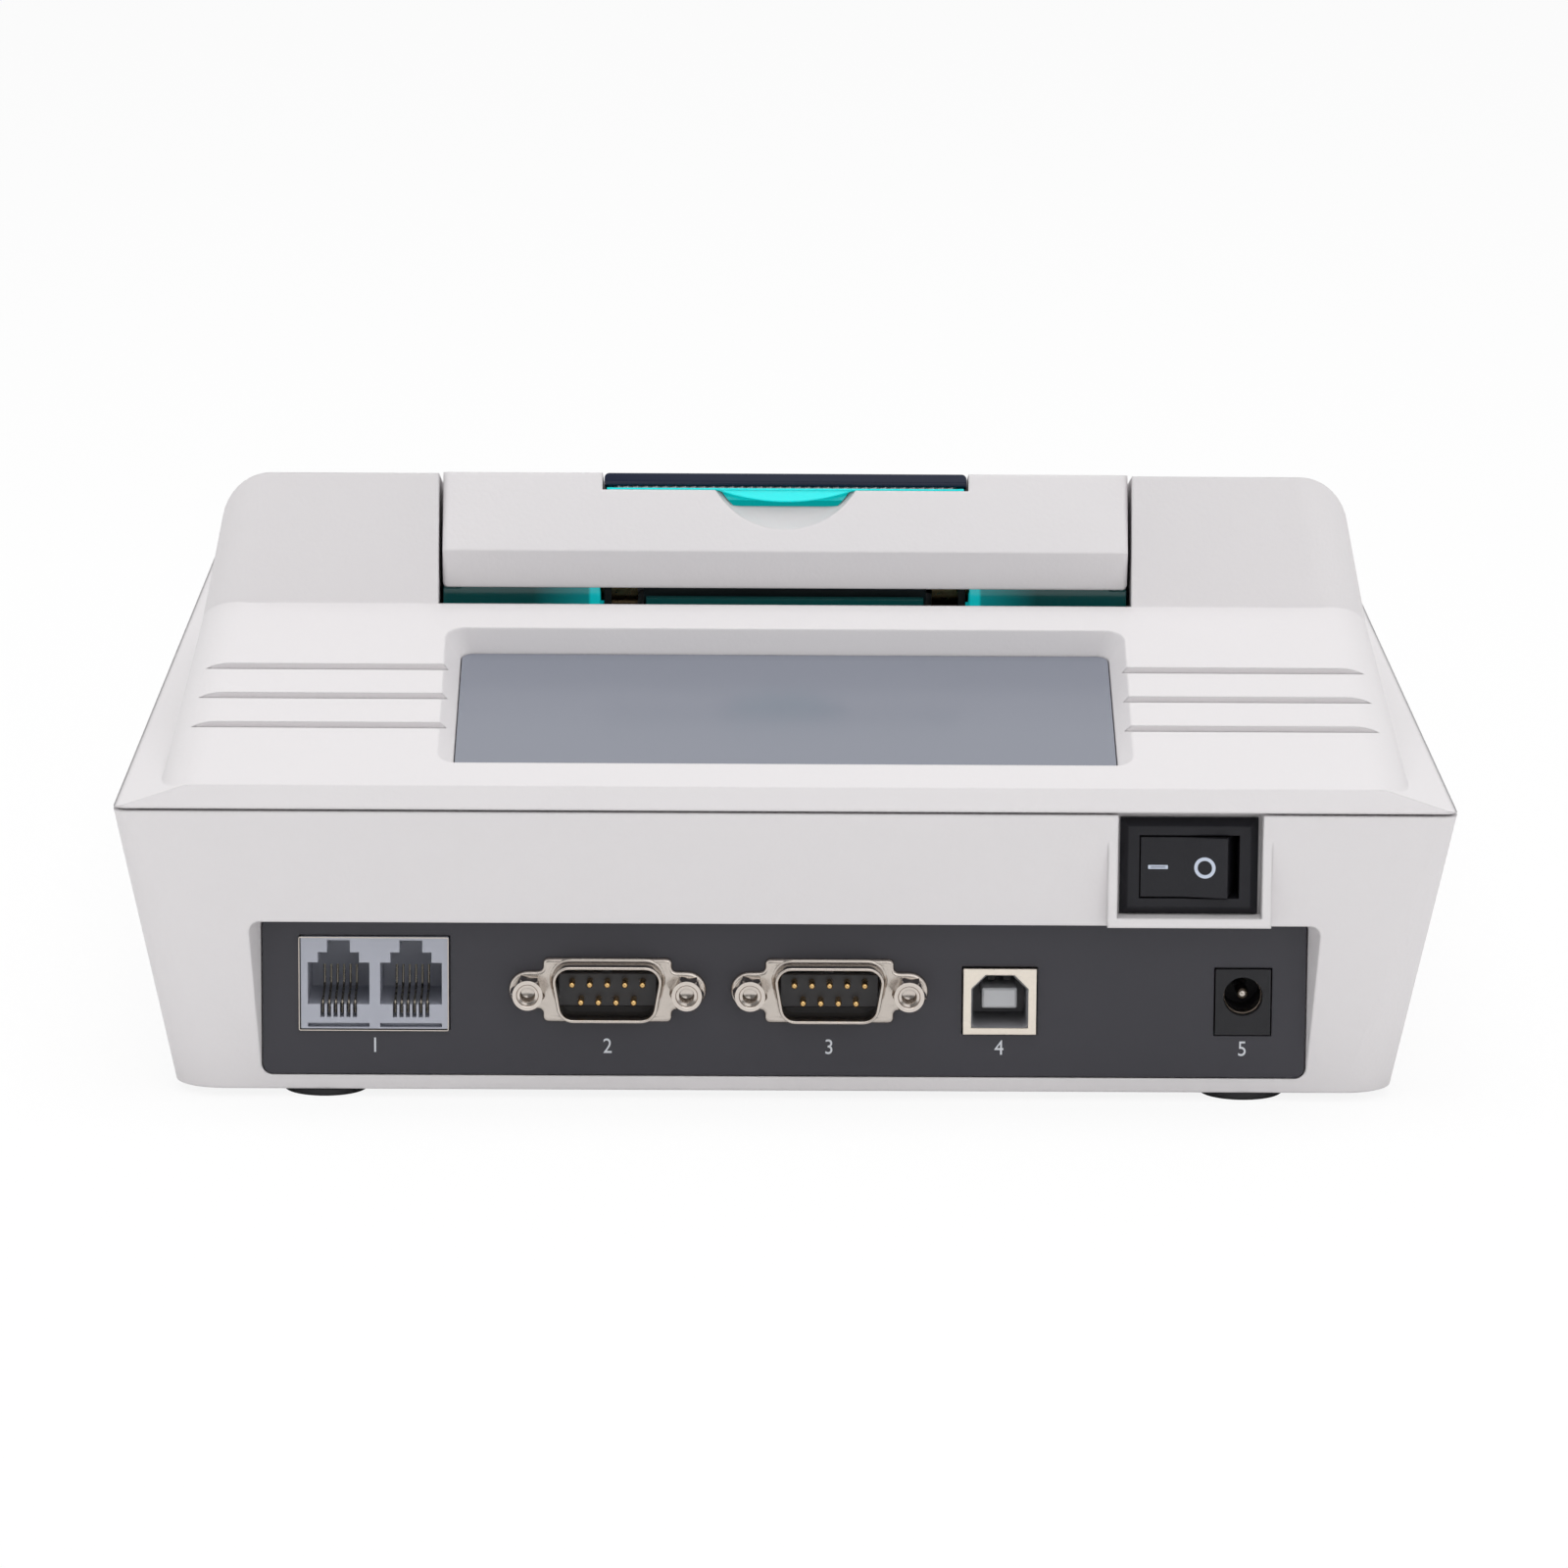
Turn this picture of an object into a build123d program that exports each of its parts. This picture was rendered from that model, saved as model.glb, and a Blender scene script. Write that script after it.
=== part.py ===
from build123d import *
import os
from math import acos, atan2, cos, degrees, hypot, pi, radians, sin, sqrt, tan

# Ticket register: a counter-top till with a ticket printer, a customer display on its rear deck,
# a keypad and display on the operator's side, and a row of ports in its rear wall.
# Millimetres. +Z is up, -Y faces the operator, +Y faces the customer and carries the ports.
# The origin is the centre of the footprint, on the surface that the feet stand on.

# ---- case, seen from outside ----
width = 209.5               # over the seam between base and cover
seam_z = 48.4               # lower edge of the cover
seam_gap = 0.4
wall = 2.5
side_rake = 8.3             # how far the base's walls lean in between seam and floor
end_rake = 10.0
floor_corner = 8.0
seam_corner = 2.4
foot_drop = 1.4             # how far the feet stand below the case
foot_radius = 7.0
foot_sink = 1.0
foot_side_in = 23.8         # feet's centres from the floor's edges
foot_end_in = 7.3

# ---- cover profile: f is the distance ahead of the rear seam edge ----
band_rise = 3.6             # height of the rim band above the seam
band_rear_in = 1.0
rim_flat_half = 93.5        # the rim slopes from here out to the seam
upper_half = 97.7           # half width of the cover's sides at the band's top
side_lean = 11.0            # degrees, cover sides above the band
deck_angle = 21.1
deck_front_f = 52.5
cheek_angle = 80.0
cheek_rise = 20.7
roof_angle = 14.0
roof_front_f = 165.0
keypad_angle = 7.0
keypad_long = 89.0          # the keypad's slope, measured level
front_drop = 4.0            # level length of the steep front strip below the keypad
side_radius = 8.0           # rounding along the cover's sides

# ---- lip of the base inside the cover ----
lip_rise = 1.4
lip_thick = 1.2
lip_shelf = 2.0
lip_clearance = 0.25

# ---- rear ports, u is measured to the right as seen from behind ----
plate_half = 82.4
plate_low_z = 3.75
plate_high_z = 29.6
plate_thick = 1.6
plate_ledge = 1.4
plate_flare = 0.3           # slope of the recess's side walls in front of the plate
plate_corner = 1.8
board_top_z = 10.9
board_thick = 1.6
board_side_in = 4.4         # board's ends inside the plate's ends
board_long = 127.5
board_parts = (             # middle x, distance behind the plate, width, length, height
    (2.0, 68.0, 20.0, 20.0, 1.6),       # processor
    (31.0, 68.4, 18.0, 11.0, 1.4),      # memory
    (-53.0, 56.0, 14.0, 4.0, 13.0),     # cooling fin
)
capacitor_x = (-42.0, -30.0)
capacitor_back = 40.0
capacitor = (4.0, 11.0)     # radius and height
post_radius = 3.0
board_post_in = 6.0
board_post_rear = 36.9      # posts behind the plate
cash_jack_in = 17.9         # middle of the jack from the plate's end
cash_jack_width = 23.3
cash_jack_low_z = 11.3
cash_jack_high_z = 26.1
cash_jack_deep = 16.0
cash_socket_pitch = 11.4
cash_socket_width = 9.7
cash_socket_high = 6.7
cash_socket_deep = 13.0
cash_sill = 3.95            # socket floor above the jack's underside
cash_latch = (1.65, 1.95)   # heights of the latch's two steps
contact_count = 6
contact_pitch = 1.02
contact_wide = 0.4
contact_thick = 0.36
contact_slot = (0.64, 1.7, 2.1)     # width, depth and height of the comb slots in the sill
serial_u = (-27.85, 7.1)
serial_z = 17.75
serial_screw_pitch = 24.99
serial_shell_width = 18.2
serial_shell_high = 9.05
serial_shell_wall = 0.5
serial_shell_out = 4.4
serial_shell_corner = 2.6
serial_pin_pitch = 2.77
serial_row_half = 1.42      # half the distance between the two rows of pins
serial_pin_radius = 0.5
serial_flange = (20.4, 10.4)
serial_ear_radius = 3.1
serial_body_half = 15.4
serial_body_over = 6.3      # top of the plastic body above the pins' middle
serial_body_back = 12.5
flange_thick = 0.9
jackscrew_flat = 2.38       # half across the flats
jackscrew_out = 4.0
jackscrew_shank = 1.42
jackscrew_bore = 1.15
usb_u = 33.95
usb_width = 11.5
usb_high_z = 21.5
usb_mouth = (9.0, 8.6)
usb_corner = 2.2            # cut off both upper corners of the mouth
usb_sheet = 0.5
usb_out = 0.8
usb_deep = 15.8
usb_socket_deep = 11.0
usb_lining = 0.25
usb_tongue = (5.5, 3.2)
power_in = 10.1             # middle of the power jack from the plate's end
power_width = 8.7
power_high_z = 21.5
power_z = 17.1
power_deep = 13.0
power_bore_deep = 10.0
power_bore_radius = 3.1
power_pin_radius = 1.0
slip = 0.2                  # clearance of a part in its cut-out

# ---- power switch ----
switch_u = 63.15
switch_z = 39.15
boss_half = 12.8
boss_low_z = 29.9
boss_under = 0.9            # boss face behind the seam's edge
boss_rim = 1.5
bezel_width = 21.6
bezel_high = 15.3
bezel_thick = 2.0
bezel_edge = 1.2            # bevel round the bezel's face
bezel_in = 2.5              # bezel's face behind the boss's face
switch_body_width = 19.2
switch_body_high = 13.0
switch_body_deep = 15.0
switch_opening_half = 7.8
rocker_pivot_in = 8.15      # pivot below the bezel's face
rocker_half = 6.8           # level rocker: pivot to its end edges, sideways
rocker_rise = 8.87          # and outwards
rocker_half_tilt = 5.5
rocker_high = 9.5
rocker_gap = 0.3
rocker_pin_radius = 1.0
rocker_keel = (1.8, 3.6)    # half width and depth of the rocker below its pivot
blade = (0.8, 4.8, 7.0)     # thickness, width and length of the switch's blades
blade_pitch = 7.0

# ---- customer display ----
recess_half = 54.5
recess_rear_f = 7.4
recess_front_f = 45.4
recess_taper = 2.4
recess_depth_rear = 1.6
recess_depth_front = 4.1
window_thick = 1.6
window_ledge = 1.8
frame_back = 1.8            # frame left behind the pane
groove_f = (18.45, 26.65, 34.9)
groove_deep = 1.1
groove_ramp = 1.8

# ---- bay between the cheeks ----
bay_opening_half = 56.0
bay_front_in = 39.0         # bay opening's front edge from the roof's front edge
ring_wall = 2.2
ring_low_z = 62.0
tub_half = 55.4
tub_rear_f = 57.6
tub_slip = 0.6
tub_rim_z = 73.5
tub_wall = 2.0
tub_step_f = 81.0
tub_shallow_z = 47.5
tub_deep_z = 30.0
tub_flange = 4.0
well_half = 30.0
partition = 2.5

# ---- hood and lid ----
hood_half = 55.4
hood_wall = 2.2
hood_proud = 0.35           # above the cheeks' tops
hood_low = (55.0, 74.15)    # (f, z) of the rear face's lower edge
hood_ridge = (53.0, 80.45)
hood_top_f = 58.0
hood_corner = 0.9
lid_half = 29.3
lid_gap = 0.3
lid_cap_thick = 2.05
tear_bar_thick = 0.3
lid_lip_thick = 0.3
lid_plate_thick = 2.0
lid_skirt = 3.6
lid_pivot_in = 7.0          # hinge axis from the tub's front
lid_barrel = 4.4
pin_radius = 1.25
running = 0.05
scoop_chord_half = 11.3
scoop_drop = 6.45
scoop_deep = 2.7
tab_chord_half = 10.1       # the lid's finger tab in front of the scoop
tab_drop = 1.6
tab_in = (1.0, 1.6)         # front and back of the tab below the hood's rear face

# ---- ticket printer ----
platen_f = 67.0
platen_z = 73.0
platen_radius = 4.5
platen_half = 23.0
ear_inner = 28.2
ear_thick = 1.2
printer_rear_f = 61.0
printer_front_f = 80.5
motor_f = 70.0
motor_z = 57.5
motor_radius = 6.5
motor_shaft_radius = 0.75
gear_module = 0.5
platen_teeth = 24
idler_teeth = 20
pinion_teeth = 12
gear_backlash = 0.09
gear_face_width = 4.0
gear_x = 33.0

# ---- operator's side ----
operator_window_in = 6.0    # window's front edge from the roof's front edge
operator_window_along = 28.0
operator_window_half = 60.0
key_columns = 5
key_rows = 4
key_pitch_x = 27.0
key_width = 22.0
key_margin = 5.5            # level length of the keypad's slope beyond the key rows
key_bar = 4.5               # cover between two rows of keys
key_proud = 3.2
key_travel = 1.5
key_slip = 0.3
key_flange = 1.25
key_flange_thick = 1.2
mat_top = -7.8              # in the keypad's plane
mat_thick = 1.0
dome_high = 2.0
keyboard_thick = 1.6
key_names = (
    "key_clear", "key_menu", "key_plus", "key_minus", "key_times",
    "key_7", "key_8", "key_9", "key_divide", "key_feed",
    "key_4", "key_5", "key_6", "key_percent", "key_sum",
    "key_1", "key_2", "key_3", "key_0", "key_point",
)

# ---- case screws ----
screw_side_in = 12.45        # screws' centres from the floor's edges
screw_end_in = 19.0
screw_radius = 1.5
screw_head_radius = 2.8
column_radius = 4.5
column_top_z = 44.0


# ---- worked out from the driving dimensions ----
keypad_front_f = roof_front_f + keypad_long
depth = keypad_front_f + front_drop
floor_width = width - 2 * side_rake
floor_depth = depth - 2 * end_rake


def ahead(f):
    """Y of a point that lies f ahead of the rear seam edge."""
    return depth / 2 - f


base_top_z = seam_z - seam_gap
band_top_z = seam_z + band_rise
deck_front_z = band_top_z + (deck_front_f - band_rear_in) * tan(radians(deck_angle))
apex_f = deck_front_f + cheek_rise / tan(radians(cheek_angle))
apex_z = deck_front_z + cheek_rise
roof_front_z = apex_z - (roof_front_f - apex_f) * tan(radians(roof_angle))
keypad_front_z = roof_front_z - (keypad_front_f - roof_front_f) * tan(radians(keypad_angle))
plate_face_y = floor_depth / 2 + (plate_low_z - foot_drop) * end_rake / (base_top_z - foot_drop)
plate_back_y = plate_face_y - plate_thick
boss_face_y = depth / 2 - boss_under
bezel_face_y = boss_face_y - bezel_in
cash_jack_u = cash_jack_in - plate_half
power_u = plate_half - power_in
board_half = plate_half - board_side_in
bay_opening_front_f = roof_front_f - bay_front_in
tub_front_f = bay_opening_front_f - tub_slip
lid_pivot_f = tub_front_f - lid_pivot_in
operator_window_front_f = roof_front_f - operator_window_in
operator_window_rear_f = operator_window_front_f - operator_window_along
key_pitch_y = (keypad_long - 2 * key_margin) / key_rows
key_length = key_pitch_y - key_bar
foot_x = floor_width / 2 - foot_side_in
foot_y = floor_depth / 2 - foot_end_in
screw_x = floor_width / 2 - screw_side_in
screw_y = floor_depth / 2 - screw_end_in
idler_reach = gear_module * (platen_teeth + idler_teeth) / 2
pinion_reach = gear_module * (idler_teeth + pinion_teeth) / 2

rear_view = Plane(origin=(0, 0, 0), x_dir=(-1, 0, 0), z_dir=(0, 1, 0))
deck_plane = Plane(
    origin=(0, ahead(band_rear_in), band_top_z),
    x_dir=(1, 0, 0),
    z_dir=(0, sin(radians(deck_angle)), cos(radians(deck_angle))),
)
roof_plane = Plane(
    origin=(0, ahead(apex_f), apex_z),
    x_dir=(1, 0, 0),
    z_dir=(0, -sin(radians(roof_angle)), cos(radians(roof_angle))),
)
keypad_plane = Plane(
    origin=(0, ahead(roof_front_f), roof_front_z),
    x_dir=(1, 0, 0),
    z_dir=(0, -sin(radians(keypad_angle)), cos(radians(keypad_angle))),
)

os.makedirs("parts", exist_ok=True)


def save(piece, label):
    piece.part.label = label
    export_step(piece.part, "parts/" + label + ".step")


def block(plane, low, high, mode=Mode.ADD):
    """A box between two opposite corners given in the plane's own axes."""
    with BuildSketch(plane.offset(low[2])) as section:
        with Locations(((low[0] + high[0]) / 2, (low[1] + high[1]) / 2)):
            Rectangle(high[0] - low[0], high[1] - low[1])
    extrude(section.sketch, amount=high[2] - low[2], mode=mode)


def rod(plane, centre, radius, low, high, mode=Mode.ADD):
    """A round bar along the plane's normal, from offset low to offset high."""
    with BuildSketch(plane.offset(low)) as section:
        with Locations(centre):
            Circle(radius)
    extrude(section.sketch, amount=high - low, mode=mode)


def slab(points, half, mode=Mode.ADD):
    """A profile of (f, z) points carried across X, half to each side."""
    with BuildSketch(Plane.YZ) as section:
        with BuildLine():
            Polyline(*[(ahead(f), z) for f, z in points], close=True)
        make_face()
    extrude(section.sketch, amount=half, both=True, mode=mode)


# ============================================================ case
def base_size(z):
    """Width and depth of the base's outer surface at height z."""
    share = (z - foot_drop) / (base_top_z - foot_drop)
    return floor_width + share * (width - floor_width), floor_depth + share * (depth - floor_depth)


def base_form(inset, low, high):
    """The base's leaning body between two heights, pulled in by inset."""
    with BuildPart() as form:
        for z, corner in ((low, floor_corner), (high, seam_corner)):
            with BuildSketch(Plane.XY.offset(z)):
                across, along = base_size(z)
                RectangleRounded(across - 2 * inset, along - 2 * inset, max(corner - inset, 0.5))
        loft()
    return form.part


def cover_form(inset):
    """The cover's outer body, pulled in by inset on every face."""
    outline = [
        (0, seam_z),
        (band_rear_in, band_top_z),
        (deck_front_f, deck_front_z),
        (apex_f, apex_z),
        (roof_front_f, roof_front_z),
        (keypad_front_f, keypad_front_z),
        (depth, seam_z),
        (depth, seam_z - 4 * wall),
        (0, seam_z - 4 * wall),
    ]
    with BuildSketch(Plane.YZ) as side:
        with BuildLine():
            Polyline(*[(ahead(f), z) for f, z in outline], close=True)
        make_face()
        if inset:
            offset(amount=-inset, kind=Kind.INTERSECTION)
    with BuildPart() as upper:
        extrude(side.sketch, amount=width, both=True)
        for hand in (1, -1):
            lean = Vector(hand * cos(radians(side_lean)), 0, sin(radians(side_lean)))
            band_edge = Vector(hand * upper_half, 0, band_top_z)
            split(bisect_by=Plane(origin=band_edge - lean * inset, z_dir=lean), keep=Keep.BOTTOM)
        run = [
            edge
            for edge in upper.edges()
            if abs(edge.tangent_at(0.5).X) < 0.9
            and abs(edge.tangent_at(0.5).Y) > 0.1
            and max(edge.start_point().Z, edge.end_point().Z) > band_top_z + 1 - inset
        ]
        fillet(run, max(side_radius - inset, 0.5))
    # the rim flares from the flat of the deck out to the seam
    with BuildSketch(Plane.XZ) as rim_section:
        with BuildLine():
            Polyline(
                (-width / 2, seam_z - 4 * wall),
                (-width / 2, seam_z),
                (-rim_flat_half, band_top_z),
                (rim_flat_half, band_top_z),
                (width / 2, seam_z),
                (width / 2, seam_z - 4 * wall),
                close=True,
            )
        make_face()
        if inset:
            offset(amount=-inset, kind=Kind.INTERSECTION)
    with BuildPart() as form:
        extrude(rim_section.sketch, amount=depth, both=True)
        extrude(side.sketch, amount=width, both=True, mode=Mode.INTERSECT)
        with BuildSketch(Plane.XY.offset(seam_z - 4 * wall)) as plan:
            RectangleRounded(width - 2 * inset, depth - 2 * inset, max(seam_corner - inset, 0.5))
        extrude(plan.sketch, amount=8 * wall, mode=Mode.INTERSECT)
        add(upper.part)
    return form.part


base_outer = base_form(0, foot_drop, base_top_z)
base_inner = base_form(wall, foot_drop + wall, base_top_z)
cover_outer = cover_form(0)
cover_inner = cover_form(wall)

lip_top_z = seam_z + lip_rise
lean_tan = tan(radians(side_lean))
lip_half_x = upper_half + (band_top_z - lip_top_z) * lean_tan - wall * hypot(1, lean_tan) - lip_clearance
rear_tan = band_rear_in / band_rise
lip_half_y = depth / 2 - (lip_top_z - seam_z) * rear_tan - wall * hypot(1, rear_tan) - lip_clearance
front_tan = (depth - keypad_front_f) / (keypad_front_z - seam_z)
lip_front_y = depth / 2 - (lip_top_z - seam_z) * front_tan - wall * hypot(1, front_tan) - lip_clearance

with BuildPart() as base_shell:
    add(base_outer)
    add(base_inner, mode=Mode.SUBTRACT)
    # shelf and lip that centre the cover
    lip_middle_y = (lip_half_y - lip_front_y) / 2
    lip_long = lip_half_y + lip_front_y
    shelf_z = base_top_z - lip_shelf
    for low, high, grow in ((shelf_z, base_top_z, wall), (base_top_z, lip_top_z, 0)):
        with BuildSketch(Plane.XY.offset(low)) as ring:
            if grow:
                across, along = base_size(low)
                RectangleRounded(across - wall, along - wall, seam_corner)
            else:
                with Locations((0, lip_middle_y)):
                    RectangleRounded(2 * lip_half_x, lip_long, seam_corner)
            with Locations((0, lip_middle_y)):
                RectangleRounded(
                    2 * (lip_half_x - lip_thick), lip_long - 2 * lip_thick, seam_corner, mode=Mode.SUBTRACT
                )
        extrude(ring.sketch, amount=high - low)
    # the lip is broken under the customer display
    block(
        rear_view,
        (-recess_half - 4, base_top_z, depth / 2 - 4 * wall),
        (recess_half + 4, lip_top_z + 1, depth / 2),
        Mode.SUBTRACT,
    )
    # frame behind the port plate, trimmed to the case
    with BuildSketch(Plane.XY.offset(foot_drop + 0.5)) as frame_foot:
        with Locations((0, (plate_back_y - plate_ledge + depth / 2) / 2)):
            Rectangle(2 * (plate_half + 2 * wall), depth / 2 - plate_back_y + plate_ledge)
    port_frame = extrude(frame_foot.sketch, amount=plate_high_z + wall - foot_drop - 0.5, mode=Mode.PRIVATE)
    add(port_frame & base_outer)
    flare_half = plate_half + plate_flare * (depth / 2 - plate_face_y)
    recess_high = plate_high_z - plate_low_z
    with BuildPart(mode=Mode.PRIVATE) as port_recess:
        for y, half in ((plate_face_y, plate_half), (depth / 2, flare_half)):
            with BuildSketch(rear_view.offset(y)):
                with Locations((0, plate_low_z + recess_high / 2)):
                    RectangleRounded(2 * half, recess_high, plate_corner)
        loft()
        with BuildSketch(rear_view.offset(plate_back_y)) as plate_seat:
            with Locations((0, plate_low_z + recess_high / 2)):
                RectangleRounded(2 * plate_half, recess_high, plate_corner)
        extrude(plate_seat.sketch, amount=plate_thick)
    add(port_recess.part, mode=Mode.SUBTRACT)
    block(
        rear_view,
        (plate_ledge - plate_half, plate_low_z + plate_ledge, plate_back_y - 2 * plate_ledge),
        (plate_half - plate_ledge, plate_high_z - plate_ledge, plate_back_y),
        Mode.SUBTRACT,
    )
    # raised boss round the power switch
    pocket_floor_y = bezel_face_y - bezel_thick
    block(
        rear_view,
        (switch_u - boss_half, boss_low_z, pocket_floor_y - wall),
        (switch_u + boss_half, base_top_z, boss_face_y),
    )
    block(
        rear_view,
        (switch_u - boss_half + boss_rim, boss_low_z + boss_rim, pocket_floor_y),
        (switch_u + boss_half - boss_rim, lip_top_z + 1, depth / 2 + 1),
        Mode.SUBTRACT,
    )
    block(
        rear_view,
        (
            switch_u - switch_body_width / 2 - slip,
            switch_z - switch_body_high / 2 - slip,
            pocket_floor_y - 3 * wall,
        ),
        (switch_u + switch_body_width / 2 + slip, switch_z + switch_body_high / 2 + slip, pocket_floor_y),
        Mode.SUBTRACT,
    )
    # screw columns and board posts
    for x in (-screw_x, screw_x):
        for y in (-screw_y, screw_y):
            rod(Plane.XY, (x, y), column_radius, foot_drop + wall / 2, column_top_z)
            rod(Plane.XY, (x, y), screw_radius + slip, foot_drop, column_top_z, Mode.SUBTRACT)
            rod(Plane.XY, (x, y), screw_head_radius + slip, foot_drop, foot_drop + 3, Mode.SUBTRACT)
    for x in (board_post_in - board_half, board_half - board_post_in):
        for y in (plate_back_y - board_long + board_post_in, plate_back_y - board_post_rear):
            rod(Plane.XY, (x, y), post_radius, foot_drop + wall / 2, board_top_z - board_thick)
    # seats of the feet
    for x in (-foot_x, foot_x):
        for y in (-foot_y, foot_y):
            rod(Plane.XY, (x, y), foot_radius + slip, foot_drop, foot_drop + foot_sink, Mode.SUBTRACT)
save(base_shell, "base_shell")

with BuildPart() as feet:
    for x in (-foot_x, foot_x):
        for y in (-foot_y, foot_y):
            rod(Plane.XY, (x, y), foot_radius, 0, foot_drop + foot_sink)
    chamfer(feet.edges().group_by(Axis.Z)[0], 0.5)
save(feet, "feet")

# ------------------------------------------------------------ cover
deck_cos = cos(radians(deck_angle))
recess_rear_y = -(recess_rear_f - band_rear_in) / deck_cos
recess_front_y = -(recess_front_f - band_rear_in) / deck_cos
recess_long = recess_rear_y - recess_front_y
recess_middle_y = (recess_rear_y + recess_front_y) / 2
recess_tilt = degrees(atan2(recess_depth_front - recess_depth_rear, recess_long))
window_half = recess_half - recess_taper
window_long = recess_long - 2.4
window_plane = Plane(
    origin=deck_plane.from_local_coords(
        Vector(0, recess_middle_y, -(recess_depth_front + recess_depth_rear) / 2)
    ),
    x_dir=(1, 0, 0),
    z_dir=(0, sin(radians(deck_angle - recess_tilt)), cos(radians(deck_angle - recess_tilt))),
)
roof_cos = cos(radians(roof_angle))
operator_rear_y = -(operator_window_rear_f - apex_f) / roof_cos
operator_front_y = -(operator_window_front_f - apex_f) / roof_cos
operator_middle_y = (operator_rear_y + operator_front_y) / 2
operator_long = operator_rear_y - operator_front_y
keypad_middle_y = -(keypad_front_f - roof_front_f) / cos(radians(keypad_angle)) / 2
keyboard_half_x = key_columns * key_pitch_x / 2 + 10.5
keyboard_half_y = key_rows * key_pitch_y / 2 + 1
post_x = keyboard_half_x - 4
post_y = keyboard_half_y - 3
mat_half_x = post_x - 5


def key_places():
    """Name and centre, in the keypad's plane, of every key, from the rear row to the front row."""
    for index, name in enumerate(key_names):
        row, column = divmod(index, key_columns)
        x = (column - (key_columns - 1) / 2) * key_pitch_x
        y = keypad_middle_y - (row - (key_rows - 1) / 2) * key_pitch_y
        yield name, x, y


def window_seat(plane, half, long, corner):
    """Seat for a window pane and the view opening behind it, cut from the plane down."""
    with BuildSketch(plane) as seat:
        RectangleRounded(2 * half, long, corner)
    extrude(seat.sketch, amount=-window_thick, mode=Mode.SUBTRACT)
    with BuildSketch(plane) as view:
        RectangleRounded(2 * (half - window_ledge), long - 2 * window_ledge, corner)
    extrude(view.sketch, amount=-4 * wall, mode=Mode.SUBTRACT)


operator_window_plane = Plane(
    origin=roof_plane.from_local_coords(Vector(0, operator_middle_y, 0)),
    x_dir=(1, 0, 0),
    z_dir=roof_plane.z_dir,
)

with BuildPart() as cover_blocks:
    # thick frames under both displays, walls round the printer bay and screw bosses
    block(
        window_plane,
        (-recess_half - 3, -recess_long / 2 - 2, -window_thick - frame_back),
        (recess_half + 3, recess_long / 2 + 2, 2 * wall),
    )
    block(
        roof_plane,
        (-operator_window_half - 3, operator_front_y - 3, -wall - window_thick),
        (operator_window_half + 3, operator_rear_y + 3, 0.5),
    )
    block(
        Plane.XY,
        (-bay_opening_half - ring_wall, ahead(bay_opening_front_f + ring_wall), ring_low_z),
        (bay_opening_half + ring_wall, ahead(deck_front_f - ring_wall), apex_z + 5),
    )
    for x in (-screw_x, screw_x):
        for y in (-screw_y, screw_y):
            rod(Plane.XY, (x, y), column_radius, column_top_z, apex_z)
    for x in (-post_x, post_x):
        for y in (keypad_middle_y - post_y, keypad_middle_y + post_y):
            rod(keypad_plane, (x, y), 3.0, mat_top - mat_thick, 0.5)
    add(cover_outer, mode=Mode.INTERSECT)

with BuildPart() as top_shell:
    add(cover_outer)
    split(bisect_by=Plane.XY.offset(seam_z), keep=Keep.TOP)
    add(cover_inner, mode=Mode.SUBTRACT)
    add(cover_blocks.part)
    # recess round the customer window, deeper at its upper edge
    with BuildSketch(deck_plane) as recess_mouth:
        with Locations((0, recess_middle_y)):
            RectangleRounded(2 * recess_half, recess_long, 3.0)
    with BuildSketch(window_plane) as recess_floor:
        RectangleRounded(2 * window_half, window_long, 2.0)
    loft([recess_mouth.sketch.face(), recess_floor.sketch.face()], mode=Mode.SUBTRACT)
    window_seat(window_plane, window_half, window_long, 2.0)
    # three stepped grooves on each side of the recess
    for f in groove_f:
        groove_y = -(f - band_rear_in) / deck_cos
        groove_plane = Plane(
            origin=deck_plane.from_local_coords(Vector(recess_half - 1, 0, 0)),
            x_dir=(0, deck_cos, -sin(radians(deck_angle))),
            z_dir=(1, 0, 0),
        )
        with BuildSketch(groove_plane) as groove:
            with BuildLine():
                Polyline(
                    (groove_y, 1.0),
                    (groove_y, -groove_deep),
                    (groove_y + groove_ramp, 0),
                    (groove_y + groove_ramp, 1.0),
                    close=True,
                )
            make_face()
        one_side = extrude(groove.sketch, amount=width / 2, mode=Mode.PRIVATE)
        add(one_side, mode=Mode.SUBTRACT)
        add(mirror(one_side, about=Plane.YZ, mode=Mode.PRIVATE), mode=Mode.SUBTRACT)
    # opening between the cheeks
    block(
        Plane.XY,
        (-bay_opening_half, ahead(bay_opening_front_f), ring_low_z - 1),
        (bay_opening_half, ahead(deck_front_f), apex_z + 5),
        Mode.SUBTRACT,
    )
    window_seat(operator_window_plane, operator_window_half, operator_long, 2.0)
    for name, x, y in key_places():
        with BuildSketch(keypad_plane.offset(1)) as key_hole:
            with Locations((x, y)):
                RectangleRounded(key_width + 2 * key_slip, key_length + 2 * key_slip, 2.0 + key_slip)
        extrude(key_hole.sketch, amount=-2 * wall, mode=Mode.SUBTRACT)
    for x in (-screw_x, screw_x):
        for y in (-screw_y, screw_y):
            rod(Plane.XY, (x, y), screw_radius, column_top_z, column_top_z + 8, Mode.SUBTRACT)
save(top_shell, "top_shell")

with BuildPart() as case_screws:
    for x in (-screw_x, screw_x):
        for y in (-screw_y, screw_y):
            rod(Plane.XY, (x, y), screw_head_radius, foot_drop + 1, foot_drop + 3)
            rod(Plane.XY, (x, y), screw_radius, foot_drop + 3, column_top_z + 7)
save(case_screws, "case_screws")

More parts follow.
